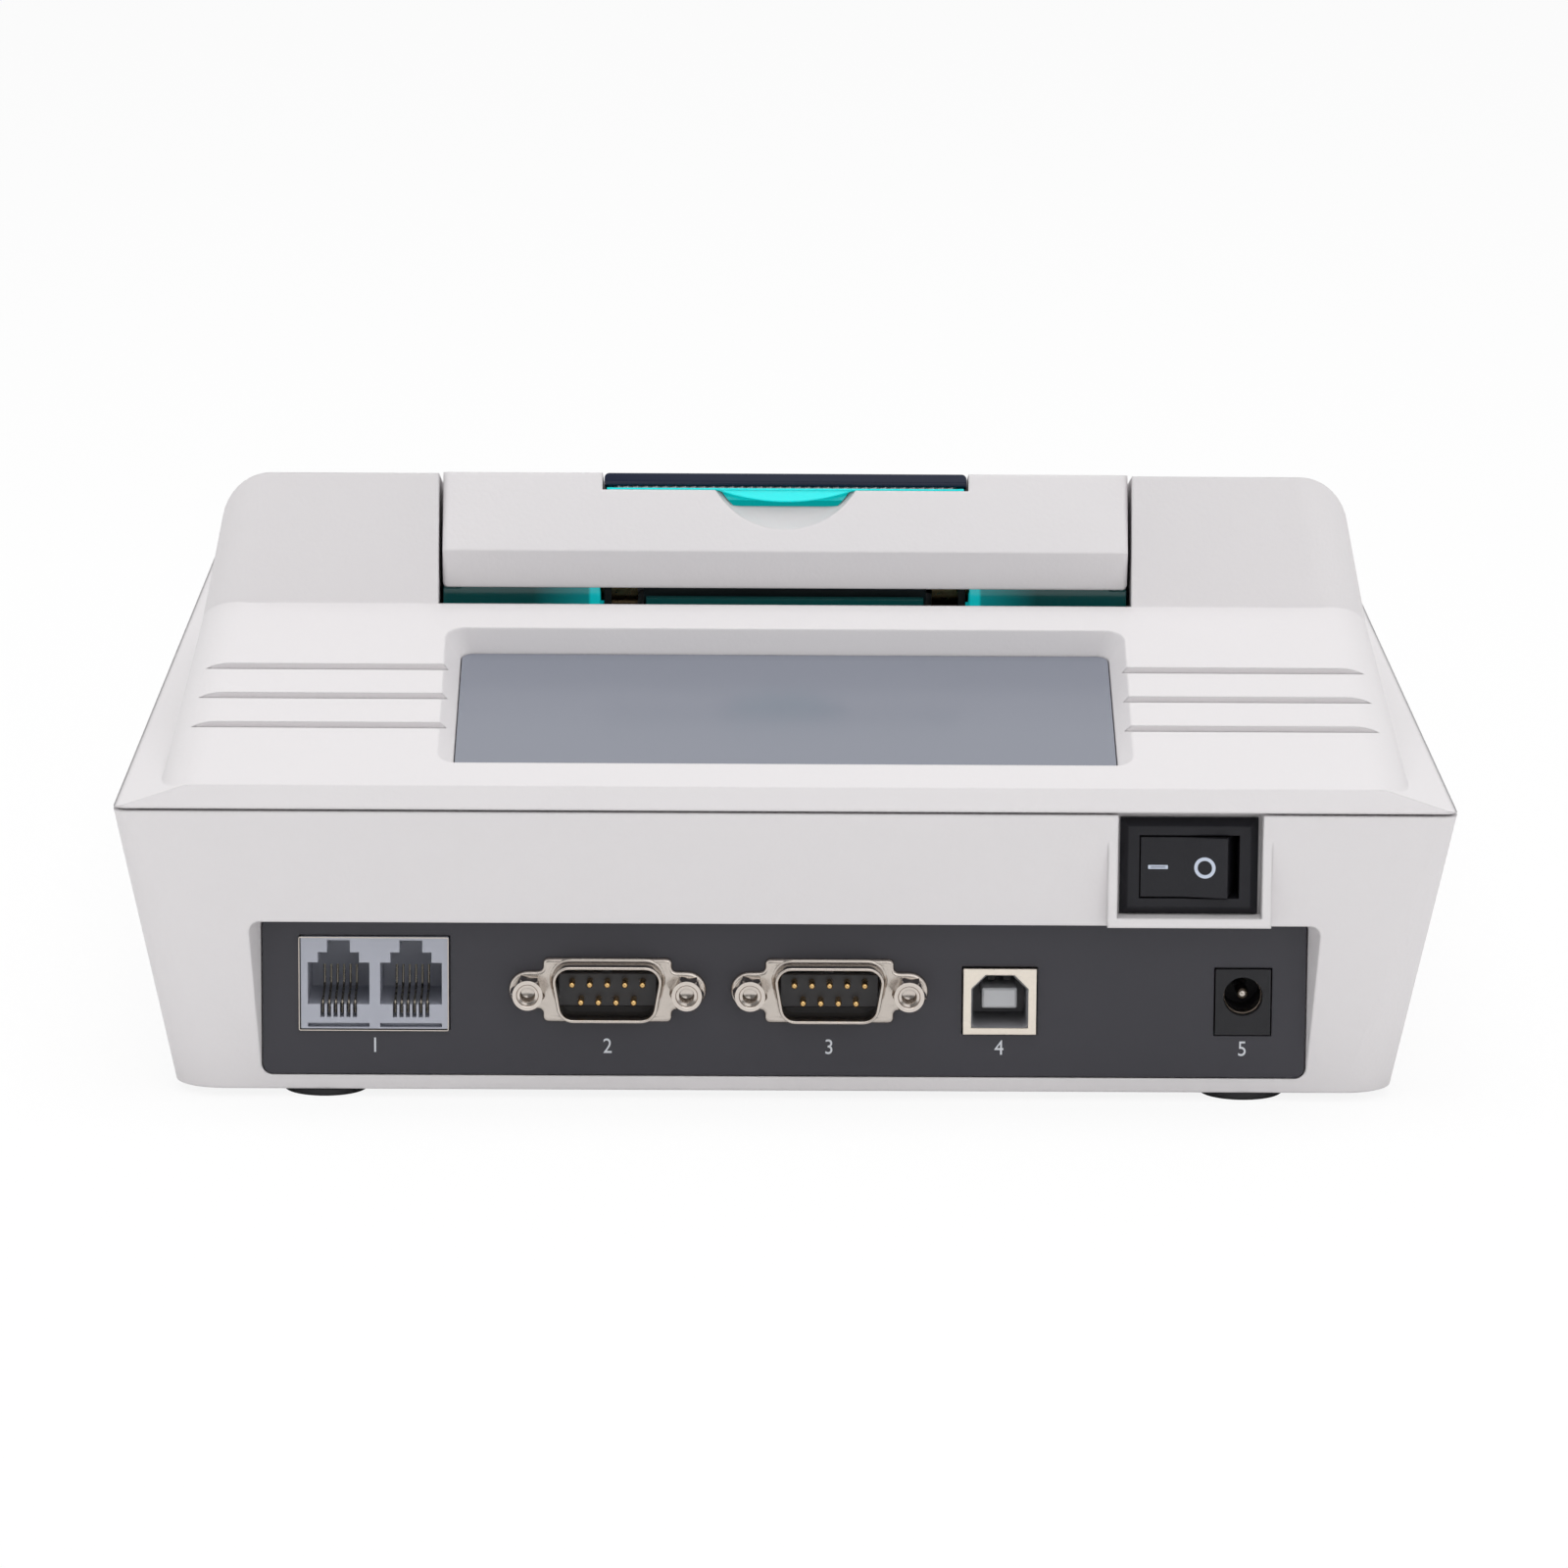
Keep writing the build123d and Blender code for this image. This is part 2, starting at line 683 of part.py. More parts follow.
# ============================================================ ports in the rear wall
def d_outline(across, high, corner):
    """Wide-side-up outline of a nine-pin connector, sides leaning ten degrees."""
    side = high * tan(radians(10))
    with BuildSketch() as outline:
        with BuildLine():
            Polyline(
                (-across / 2, high / 2),
                (across / 2, high / 2),
                (across / 2 - side, -high / 2),
                (side - across / 2, -high / 2),
                close=True,
            )
        make_face()
        fillet(outline.vertices(), corner)
    return outline.sketch


def usb_outline(grow):
    """Mouth of the square socket, with its two upper corners cut off."""
    half = usb_mouth[0] / 2 + grow
    middle_z = (board_top_z + usb_high_z) / 2
    low = middle_z - usb_mouth[1] / 2 - grow
    high = middle_z + usb_mouth[1] / 2 + grow
    with BuildSketch() as outline:
        with BuildLine():
            Polyline(
                (usb_u - half, low),
                (usb_u + half, low),
                (usb_u + half, high - usb_corner),
                (usb_u + half - usb_corner, high),
                (usb_u - half + usb_corner, high),
                (usb_u - half, high - usb_corner),
                close=True,
            )
        make_face()
    return outline.sketch


def on_rear(sketch, y):
    """A sketch drawn in (u, z) moved into the upright plane at y."""
    return rear_view.offset(y).from_local_coords(sketch)


def at(sketch, u, z):
    """A sketch moved to (u, z) in its own plane."""
    return sketch.moved(Location((u, z, 0)))


def shell_outline(inset):
    """The serial sockets' sheet shell, pulled in by inset."""
    return d_outline(
        serial_shell_width - 2 * inset, serial_shell_high - 2 * inset, serial_shell_corner - inset
    )


serial_ear = serial_screw_pitch / 2 + serial_ear_radius
jackscrew_hole = jackscrew_shank + slip
usb_front_y = plate_face_y + usb_out
usb_back_y = usb_front_y - usb_deep
cash_socket_low_z = cash_jack_low_z + cash_sill
jack_face_y = plate_face_y + 0.3

with BuildPart() as port_plate:
    block(
        rear_view,
        (slip - plate_half, plate_low_z + slip, plate_back_y),
        (plate_half - slip, plate_high_z - slip, plate_face_y),
    )
    fillet(port_plate.edges().filter_by(Axis.Y), plate_corner - slip)
    for u, half, low, high in (
        (cash_jack_u, cash_jack_width / 2, cash_jack_low_z, cash_jack_high_z),
        (usb_u, usb_width / 2, board_top_z, usb_high_z),
        (power_u, power_width / 2, board_top_z, power_high_z),
    ):
        block(
            rear_view,
            (u - half - slip, low - slip, plate_back_y - 1),
            (u + half + slip, high + slip, plate_face_y + 1),
            Mode.SUBTRACT,
        )
    for u in serial_u:
        hole = at(shell_outline(-slip), u, serial_z)
        extrude(on_rear(hole, plate_face_y + 1), amount=-2 * plate_thick, mode=Mode.SUBTRACT)
        for hand in (-1, 1):
            place = (u + hand * serial_screw_pitch / 2, serial_z)
            rod(rear_view, place, jackscrew_hole, plate_back_y - 1, plate_face_y + 1, Mode.SUBTRACT)
save(port_plate, "port_plate")

with BuildPart() as main_board:
    block(
        Plane.XY,
        (-board_half, plate_back_y - board_long, board_top_z - board_thick),
        (board_half, plate_back_y - 0.4, board_top_z),
    )
    for x, back, across, along, high in board_parts:
        y = plate_back_y - back
        block(
            Plane.XY,
            (x - across / 2, y - along / 2, board_top_z),
            (x + across / 2, y + along / 2, board_top_z + high),
        )
    for x in capacitor_x:
        place = (x, plate_back_y - capacitor_back)
        rod(Plane.XY, place, capacitor[0], board_top_z, board_top_z + capacitor[1])
save(main_board, "main_board")


def cash_contact_places():
    """Both sockets' middles with the middles of their contacts."""
    for hand in (-1, 1):
        middle = cash_jack_u + hand * cash_socket_pitch / 2
        yield middle, [
            middle + (wire - (contact_count - 1) / 2) * contact_pitch for wire in range(contact_count)
        ]


with BuildPart() as cash_jack_block:
    block(
        rear_view,
        (cash_jack_u - cash_jack_width / 2, cash_jack_low_z, plate_face_y - cash_jack_deep),
        (cash_jack_u + cash_jack_width / 2, cash_jack_high_z, jack_face_y),
    )
    block(
        rear_view,
        (cash_jack_u - cash_jack_width / 2 + 1, board_top_z, plate_face_y - cash_jack_deep + 1),
        (cash_jack_u + cash_jack_width / 2 - 1, cash_jack_low_z, plate_back_y - 2),
    )
    for middle, wires in cash_contact_places():
        # plug opening with the two steps of its latch above
        low = cash_socket_low_z
        for half, high in (
            (cash_socket_width / 2, cash_socket_high),
            (cash_socket_width / 3, cash_latch[0]),
            (cash_socket_width / 5.4, cash_latch[1]),
        ):
            block(
                rear_view,
                (middle - half, low, plate_face_y - cash_socket_deep),
                (middle + half, low + high, plate_face_y + 1),
                Mode.SUBTRACT,
            )
            low += high
        # comb slots in the sill and a groove below it
        for u in wires:
            block(
                rear_view,
                (u - contact_slot[0] / 2, cash_socket_low_z - contact_slot[2], plate_face_y - contact_slot[1]),
                (u + contact_slot[0] / 2, cash_socket_low_z + 0.1, plate_face_y + 1),
                Mode.SUBTRACT,
            )
        block(
            rear_view,
            (middle - cash_socket_width / 2, cash_jack_low_z + 0.25, plate_face_y - 1.2),
            (middle + cash_socket_width / 2, cash_jack_low_z + 0.9, plate_face_y + 1),
            Mode.SUBTRACT,
        )
save(cash_jack_block, "cash_jack_block")

with BuildPart() as jack_contacts:
    # sprung wires: from the comb over the socket's floor and up its rear wall
    wire_run = [
        (-0.9, -1.6),
        (-1.2, 0.35),
        (-3.5, 1.0),
        (1.4 - cash_socket_deep, 0.5),
        (0.5 - cash_socket_deep, 1.3),
        (0.4 - cash_socket_deep, cash_socket_high - 0.6),
    ]
    for middle, wires in cash_contact_places():
        for u in wires:
            with BuildSketch(Plane.YZ.offset(-u - contact_wide / 2)) as wire:
                with BuildLine():
                    Polyline(*[(plate_face_y + y, cash_socket_low_z + z) for y, z in wire_run])
                trace(line_width=contact_thick)
            extrude(wire.sketch, amount=contact_wide)
save(jack_contacts, "jack_contacts")

with BuildPart() as serial_shells:
    for u in serial_u:
        with BuildSketch(rear_view.offset(plate_face_y)) as flange:
            with Locations((u, serial_z)):
                Rectangle(*serial_flange)
                SlotOverall(2 * serial_ear, 2 * serial_ear_radius)
                with Locations((-serial_screw_pitch / 2, 0), (serial_screw_pitch / 2, 0)):
                    Circle(jackscrew_hole, mode=Mode.SUBTRACT)
        extrude(flange.sketch, amount=flange_thick)
        shell_back_y = plate_back_y - 1
        shell_long = plate_face_y + serial_shell_out - shell_back_y
        extrude(on_rear(at(shell_outline(0), u, serial_z), shell_back_y), amount=shell_long)
        extrude(
            on_rear(at(shell_outline(serial_shell_wall), u, serial_z), shell_back_y - 1),
            amount=shell_long + 2,
            mode=Mode.SUBTRACT,
        )
save(serial_shells, "serial_shells")

core_face_y = plate_face_y + 0.2
with BuildPart() as serial_cores:
    for u in serial_u:
        inner = at(shell_outline(serial_shell_wall), u, serial_z)
        extrude(on_rear(inner, shell_back_y), amount=core_face_y - shell_back_y)
        block(
            rear_view,
            (u - serial_body_half, board_top_z, plate_back_y - serial_body_back),
            (u + serial_body_half, serial_z + serial_body_over, shell_back_y),
        )
save(serial_cores, "serial_cores")


def serial_pin_places():
    """Pins in two rows, five above four, for both sockets."""
    for u in serial_u:
        for count, z in ((5, serial_z + serial_row_half), (4, serial_z - serial_row_half)):
            for index in range(count):
                yield u + (index - (count - 1) / 2) * serial_pin_pitch, z


with BuildPart() as serial_pins:
    for u, z in serial_pin_places():
        rod(rear_view, (u, z), serial_pin_radius, core_face_y, plate_face_y + serial_shell_out - 0.6)
save(serial_pins, "serial_pins")

jackscrew_low_y = plate_face_y + flange_thick
jackscrew_end_y = jackscrew_low_y + jackscrew_out
with BuildPart() as jackscrews:
    for u in serial_u:
        for hand in (-1, 1):
            place = (u + hand * serial_screw_pitch / 2, serial_z)
            with BuildSketch(rear_view.offset(jackscrew_low_y)) as hexagon:
                with Locations(place):
                    RegularPolygon(jackscrew_flat, 6, major_radius=False)
            extrude(hexagon.sketch, amount=jackscrew_out)
            rod(rear_view, place, jackscrew_shank, plate_back_y - 1, jackscrew_low_y)
            rod(rear_view, place, jackscrew_bore, jackscrew_low_y, jackscrew_end_y + 1, Mode.SUBTRACT)
save(jackscrews, "jackscrews")

usb_low_inner = (usb_u - usb_width / 2 + usb_sheet, board_top_z + usb_sheet, usb_back_y + usb_sheet)
usb_high_inner = (usb_u + usb_width / 2 - usb_sheet, usb_high_z - usb_sheet, usb_front_y - usb_sheet)
with BuildPart() as usb_shell:
    block(
        rear_view,
        (usb_u - usb_width / 2, board_top_z, usb_back_y),
        (usb_u + usb_width / 2, usb_high_z, usb_front_y),
    )
    block(rear_view, usb_low_inner, usb_high_inner, Mode.SUBTRACT)
    extrude(on_rear(usb_outline(0), usb_front_y - 2 * usb_sheet), amount=4 * usb_sheet, mode=Mode.SUBTRACT)
save(usb_shell, "usb_shell")

usb_floor_y = usb_front_y - usb_socket_deep
with BuildPart() as usb_core:
    block(rear_view, usb_low_inner, usb_high_inner)
    extrude(on_rear(usb_outline(-usb_lining), usb_floor_y), amount=usb_socket_deep + 1, mode=Mode.SUBTRACT)
    tongue_z = (board_top_z + usb_high_z) / 2
    block(
        rear_view,
        (usb_u - usb_tongue[0] / 2, tongue_z - usb_tongue[1] / 2, usb_floor_y),
        (usb_u + usb_tongue[0] / 2, tongue_z + usb_tongue[1] / 2, usb_front_y - 2),
    )
save(usb_core, "usb_core")

power_back_y = jack_face_y - power_deep
power_bore_y = jack_face_y - power_bore_deep
with BuildPart() as power_jack:
    block(
        rear_view,
        (power_u - power_width / 2, board_top_z, power_back_y),
        (power_u + power_width / 2, power_high_z, jack_face_y),
    )
    rod(rear_view, (power_u, power_z), power_bore_radius, power_bore_y, jack_face_y + 1, Mode.SUBTRACT)
    rod(rear_view, (power_u, power_z), power_pin_radius, power_back_y, power_bore_y, Mode.SUBTRACT)
save(power_jack, "power_jack")

with BuildPart() as power_jack_pin:
    rod(rear_view, (power_u, power_z), power_pin_radius, power_back_y, plate_face_y - 1.5)
    fillet(power_jack_pin.edges().group_by(Axis.Y)[-1], 0.6)
save(power_jack_pin, "power_jack_pin")

# ============================================================ power switch
pivot_y = bezel_face_y - rocker_pivot_in
rocker_tan = tan(radians(rocker_half_tilt))
rocker_reach = rocker_half * cos(radians(rocker_half_tilt)) + rocker_rise * sin(radians(rocker_half_tilt))
body_back_y = pocket_floor_y - switch_body_deep

with BuildPart() as switch_body:
    block(
        rear_view,
        (switch_u - bezel_width / 2, switch_z - bezel_high / 2, pocket_floor_y),
        (switch_u + bezel_width / 2, switch_z + bezel_high / 2, bezel_face_y),
    )
    chamfer(switch_body.edges().group_by(Axis.Y)[-1], bezel_edge)
    block(
        rear_view,
        (switch_u - switch_body_width / 2, switch_z - switch_body_high / 2, body_back_y),
        (switch_u + switch_body_width / 2, switch_z + switch_body_high / 2, pocket_floor_y),
    )
    block(
        rear_view,
        (
            switch_u - rocker_reach - slip,
            switch_z - rocker_high / 2 - rocker_gap,
            pivot_y - rocker_keel[1] - 0.8,
        ),
        (switch_u + rocker_reach + slip, switch_z + rocker_high / 2 + rocker_gap, bezel_face_y + 1),
        Mode.SUBTRACT,
    )
    # pivot pins in the cavity's floor and roof, and the blades behind
    for hand in (-1, 1):
        ends = sorted(
            (switch_z + hand * (rocker_high / 2 - 1), switch_z + hand * (rocker_high / 2 + 2 * rocker_gap))
        )
        rod(Plane.XY, (-switch_u, pivot_y), rocker_pin_radius, ends[0], ends[1])
    for u in (switch_u - blade_pitch, switch_u, switch_u + blade_pitch):
        block(
            rear_view,
            (u - blade[0] / 2, switch_z - blade[1] / 2, body_back_y - blade[2]),
            (u + blade[0] / 2, switch_z + blade[1] / 2, body_back_y),
        )
save(switch_body, "switch_body")

with BuildPart() as switch_rocker:
    # drawn level about the pivot, then turned so that its +X half lies flush with the bezel
    wall_z = 0.2
    wall_x = rocker_half + (rocker_rise - wall_z) * rocker_tan
    with BuildSketch() as level:
        with BuildLine():
            Polyline(
                (-rocker_half, rocker_rise),
                (0, rocker_rise - rocker_half * rocker_tan),
                (rocker_half, rocker_rise),
                (wall_x, wall_z),
                (rocker_keel[0], -rocker_keel[1]),
                (-rocker_keel[0], -rocker_keel[1]),
                (-wall_x, wall_z),
                close=True,
            )
        make_face()
        Circle(rocker_pin_radius + running, mode=Mode.SUBTRACT)
    turned = level.sketch.rotate(Axis.Z, -rocker_half_tilt)
    extrude(turned.moved(Location((-switch_u, pivot_y, switch_z - rocker_high / 2))), amount=rocker_high)
save(switch_rocker, "switch_rocker")

# ============================================================ displays
with BuildPart() as customer_window:
    with BuildSketch(window_plane) as pane:
        RectangleRounded(2 * (window_half - slip), window_long - 2 * slip, 2.0 - slip)
    extrude(pane.sketch, amount=-window_thick)
save(customer_window, "customer_window")

with BuildPart() as operator_window:
    with BuildSketch(operator_window_plane) as pane:
        RectangleRounded(2 * (operator_window_half - slip), operator_long - 2 * slip, 2.0 - slip)
    extrude(pane.sketch, amount=-window_thick)
save(operator_window, "operator_window")


def display_module(plane, board_z, half, long, glass_half, glass_long, glass_thick):
    """A display glass on its own board, the board against the frame's back."""
    block(plane, (-half, -long / 2, board_z - board_thick), (half, long / 2, board_z))
    block(
        plane,
        (-glass_half, -glass_long / 2, board_z),
        (glass_half, glass_long / 2, board_z + glass_thick),
    )


with BuildPart() as customer_display:
    display_module(window_plane, -window_thick - frame_back, window_half + 1, window_long - 2, 44, 24, 1.0)
save(customer_display, "customer_display")

with BuildPart() as operator_display:
    display_module(
        operator_window_plane, -wall - window_thick, operator_window_half - 4, operator_long - 1, 52, 18, 1.6
    )
save(operator_display, "operator_display")

# ============================================================ printer bay, hood and lid
with BuildPart() as printer_bay:
    tub = [
        (tub_rear_f, tub_rim_z),
        (tub_rear_f, tub_shallow_z),
        (tub_step_f, tub_shallow_z),
        (tub_step_f, tub_deep_z),
        (tub_front_f, tub_deep_z),
        (tub_front_f, tub_rim_z),
    ]
    hollow = [
        (tub_rear_f + tub_wall, tub_rim_z + 1),
        (tub_rear_f + tub_wall, tub_shallow_z + tub_wall),
        (tub_step_f + tub_wall, tub_shallow_z + tub_wall),
        (tub_step_f + tub_wall, tub_deep_z + tub_wall),
        (tub_front_f - tub_wall, tub_deep_z + tub_wall),
        (tub_front_f - tub_wall, tub_rim_z + 1),
    ]
    slab(tub, tub_half)
    block(
        Plane.XY,
        (-tub_half - tub_flange, ahead(tub_front_f + tub_flange), ring_low_z - tub_wall),
        (tub_half + tub_flange, ahead(deck_front_f - ring_wall), ring_low_z),
    )
    slab(hollow, tub_half - tub_wall, Mode.SUBTRACT)
    for hand in (-1, 1):
        with BuildSketch(Plane.YZ.offset(hand * (well_half + partition / 2))) as web:
            with BuildLine():
                Polyline(*[(ahead(f), z) for f, z in tub], close=True)
            make_face()
        extrude(web.sketch, amount=partition / 2, both=True)
        # window in the partition beside the printing mechanism
        inner = hand * well_half
        outer = hand * (well_half + partition)
        block(
            Plane.XY,
            (min(inner, outer), ahead(tub_step_f), tub_shallow_z + tub_wall),
            (max(inner, outer), ahead(printer_rear_f - 0.6), tub_rim_z + 1),
            Mode.SUBTRACT,
        )
        # low beside the lid's hinge
        block(
            Plane.XY,
            (min(inner, outer), ahead(tub_front_f - tub_wall), tub_rim_z - 7.5),
            (max(inner, outer), ahead(lid_pivot_f - 2 * lid_barrel), tub_rim_z + 1),
            Mode.SUBTRACT,
        )
    # rear wall: tall beside the well, low where the roller shows, with a guide in the middle
    tall_z = tub_rim_z + 4.5
    for hand in (-1, 1):
        ends = sorted((hand * well_half, hand * (tub_half - hood_wall - 0.6)))
        block(
            Plane.XY,
            (ends[0], ahead(tub_rear_f + tub_wall), tub_rim_z),
            (ends[1], ahead(tub_rear_f), tall_z),
        )
    block(
        Plane.XY,
        (-well_half, ahead(tub_rear_f + tub_wall), tub_rim_z - 7.5),
        (well_half, ahead(tub_rear_f - 1), tub_rim_z + 1),
        Mode.SUBTRACT,
    )
    block(
        Plane.XY,
        (-well_half * 0.75, ahead(tub_rear_f + tub_wall), tub_rim_z - 7.5),
        (well_half * 0.75, ahead(tub_rear_f), tub_rim_z - 1.5),
    )
save(printer_bay, "printer_bay")

hood_top_plane = roof_plane.offset(hood_proud)


def hood_top_z(f):
    """Height of the hood's top surface at f."""
    return apex_z - (f - apex_f) * tan(radians(roof_angle)) + hood_proud / roof_cos


hood_top = (hood_top_f, hood_top_z(hood_top_f))
face_run = Vector(0, ahead(hood_ridge[0]) - ahead(hood_top[0]), hood_ridge[1] - hood_top[1])
scoop_plane = Plane(
    origin=(0, ahead(hood_top[0]), hood_top[1]),
    x_dir=(1, 0, 0),
    z_dir=(0, -face_run.Z, face_run.Y),
)
lid_stack = lid_cap_thick + tear_bar_thick + lid_lip_thick
notch_deep = lid_stack + 0.1
notch_along = notch_deep / cos(atan2(face_run.Y, -face_run.Z) - radians(roof_angle))
scoop_radius = (scoop_chord_half**2 + scoop_drop**2) / (2 * scoop_drop)
pivot_z = hood_top_z(lid_pivot_f) - lid_barrel / roof_cos
pivot_y_lid = ahead(lid_pivot_f)
pivot_local = hood_top_plane.to_local_coords(Vector(0, pivot_y_lid, pivot_z))
rear_local_y = hood_top_plane.to_local_coords(Vector(0, ahead(hood_top[0]), hood_top[1])).Y

with BuildPart() as dish:
    # the space that the finger scoop takes out of the hood's rear face
    with BuildSketch(scoop_plane.offset(0.5)) as scoop:
        with Locations((0, notch_along + scoop_drop - scoop_radius)):
            Circle(scoop_radius)
    extrude(scoop.sketch, amount=-scoop_deep - 0.5)
    rims = dish.edges().filter_by(GeomType.CIRCLE)
    fillet(rims.sort_by(Axis(scoop_plane.origin, scoop_plane.z_dir))[0], scoop_deep - 0.2)

with BuildPart() as hood:
    outside = [
        hood_low,
        hood_ridge,
        hood_top,
        (tub_front_f, hood_top_z(tub_front_f)),
        (tub_front_f, tub_rim_z),
        (hood_low[0] + 2 * hood_wall, tub_rim_z),
        (hood_low[0] + 2 * hood_wall, hood_low[1]),
    ]
    open_below = [
        (hood_low[0], tub_rim_z - 10),
        hood_low,
        hood_ridge,
        hood_top,
        (tub_front_f, hood_top_z(tub_front_f)),
        (tub_front_f, tub_rim_z - 10),
    ]
    with BuildSketch(Plane.YZ) as outer_side:
        with BuildLine():
            Polyline(*[(ahead(f), z) for f, z in outside], close=True)
        make_face()
        fillet(outer_side.vertices().filter_by(lambda v: abs(v.Z - hood_ridge[1]) < 0.01), 1.5)
    extrude(outer_side.sketch, amount=hood_half, both=True)
    ends = [
        edge
        for face in hood.faces().filter_by(Axis.X)
        for edge in face.edges()
        if min(edge.start_point().Z, edge.end_point().Z) > hood_low[1] - 0.1
        and max(edge.start_point().Y, edge.end_point().Y) > ahead(hood_low[0] + hood_wall)
    ]
    fillet(ends, hood_corner)
    with BuildSketch(Plane.YZ) as inner_side:
        with BuildLine():
            Polyline(*[(ahead(f), z) for f, z in open_below], close=True)
        make_face()
        offset(amount=-hood_wall, kind=Kind.INTERSECTION)
    extrude(inner_side.sketch, amount=hood_half - hood_wall, both=True, mode=Mode.SUBTRACT)
    # pad behind the finger scoop
    block(
        scoop_plane,
        (-scoop_chord_half - 2.5, notch_along + 2, -scoop_deep - 1.6),
        (scoop_chord_half + 2.5, notch_along + scoop_drop + 2.5, -hood_wall / 2),
    )
    add(dish.part, mode=Mode.SUBTRACT)
    # ears for the lid's hinge pins
    for hand in (-1, 1):
        near = lid_half + lid_gap
        ends = sorted((hand * near, hand * (near + 4)))
        with BuildSketch(Plane.YZ.offset(ends[0])) as ear:
            with Locations((pivot_y_lid, pivot_z)):
                Circle(lid_barrel - 0.2)
                Rectangle(2 * lid_barrel - 0.4, lid_barrel, align=(Align.CENTER, Align.MIN))
        ear_solid = extrude(ear.sketch, amount=4, mode=Mode.PRIVATE)
        trim = extrude(outer_side.sketch, amount=hood_half, both=True, mode=Mode.PRIVATE)
        add(ear_solid & trim)
    # opening for the lid
    block(
        hood_top_plane,
        (-lid_half - lid_gap, pivot_local.Y - lid_barrel - 0.4, -notch_deep),
        (lid_half + lid_gap, rear_local_y + 5, 2),
        Mode.SUBTRACT,
    )
    pin_bore = hood_half - hood_wall
    rod(Plane.YZ, (pivot_y_lid, pivot_z), pin_radius, -pin_bore, pin_bore, Mode.SUBTRACT)
save(hood, "hood")

pin_low = lid_half - 8
with BuildPart() as lid_hinge_pins:
    for hand in (-1, 1):
        ends = sorted((hand * pin_low, hand * (lid_half + lid_gap + 4)))
        rod(Plane.YZ, (pivot_y_lid, pivot_z), pin_radius, ends[0], ends[1])
save(lid_hinge_pins, "lid_hinge_pins")

plate_half_x = lid_half - 0.4
plate_rear_y = rear_local_y - 3.4
with BuildPart() as paper_lid:
    block(
        hood_top_plane,
        (-plate_half_x, pivot_local.Y, -lid_cap_thick - lid_plate_thick),
        (plate_half_x, plate_rear_y, -lid_cap_thick),
    )
    for hand in (-1, 1):
        ends = sorted((hand * plate_half_x, hand * (plate_half_x - 1.6)))
        block(
            hood_top_plane,
            (ends[0], pivot_local.Y + 2 * lid_barrel, -lid_cap_thick - lid_plate_thick - lid_skirt),
            (ends[1], plate_rear_y - 1, -lid_cap_thick - lid_plate_thick),
        )
    rod(Plane.YZ, (pivot_y_lid, pivot_z), lid_barrel, -plate_half_x, plate_half_x)
    block(
        hood_top_plane,
        (-plate_half_x - 1, pivot_local.Y, -lid_cap_thick),
        (plate_half_x + 1, rear_local_y, 2),
        Mode.SUBTRACT,
    )
    # lip under the tear bar, with a finger tab that hangs into the scoop
    block(
        hood_top_plane,
        (-plate_half_x, plate_rear_y - 1, -lid_stack),
        (plate_half_x, rear_local_y - 0.4, lid_lip_thick - lid_stack),
    )
    tab_radius = (tab_chord_half**2 + tab_drop**2) / (2 * tab_drop)
    with BuildPart(mode=Mode.PRIVATE) as tab:
        rod(scoop_plane, (0, notch_along + tab_drop - tab_radius), tab_radius, -tab_in[1], -tab_in[0])
        split(bisect_by=hood_top_plane.offset(lid_lip_thick / 2 - lid_stack), keep=Keep.BOTTOM)
    add(tab.part)
    for hand in (-1, 1):
        ends = sorted((hand * (pin_low - 0.3), hand * (plate_half_x + 1)))
        rod(Plane.YZ, (pivot_y_lid, pivot_z), pin_radius + running, ends[0], ends[1], Mode.SUBTRACT)
save(paper_lid, "paper_lid")

with BuildPart() as lid_cap:
    block(
        hood_top_plane,
        (-lid_half, pivot_local.Y, -lid_cap_thick),
        (lid_half, rear_local_y - 0.2, 0),
    )
    fillet(lid_cap.edges().filter_by(Axis.X).group_by(Axis.Y)[-1], 0.85)
    top_sides = [
        edge
        for edge in lid_cap.faces().sort_by(Axis(hood_top_plane.origin, hood_top_plane.z_dir))[-1].edges()
        if abs(edge.tangent_at(0.5).Y) > 0.5
    ]
    fillet(top_sides, 0.8)
save(lid_cap, "lid_cap")

with BuildPart() as tear_bar:
    # thin steel strip with saw teeth, under the cap's rear edge
    bar_half = lid_half - 1.5
    teeth = 36
    pitch = 2 * bar_half / teeth
    tooth_tip_y = rear_local_y - 0.6
    tooth_root_y = tooth_tip_y - 0.9
    with BuildSketch(hood_top_plane.offset(-lid_cap_thick - tear_bar_thick)) as saw:
        with BuildLine():
            corners = [(-bar_half, plate_rear_y), (-bar_half, tooth_root_y)]
            for index in range(teeth):
                corners.append((-bar_half + (index + 0.5) * pitch, tooth_tip_y))
                corners.append((-bar_half + (index + 1) * pitch, tooth_root_y))
            corners.append((bar_half, plate_rear_y))
            Polyline(*corners, close=True)
        make_face()
    extrude(saw.sketch, amount=tear_bar_thick)
save(tear_bar, "tear_bar")

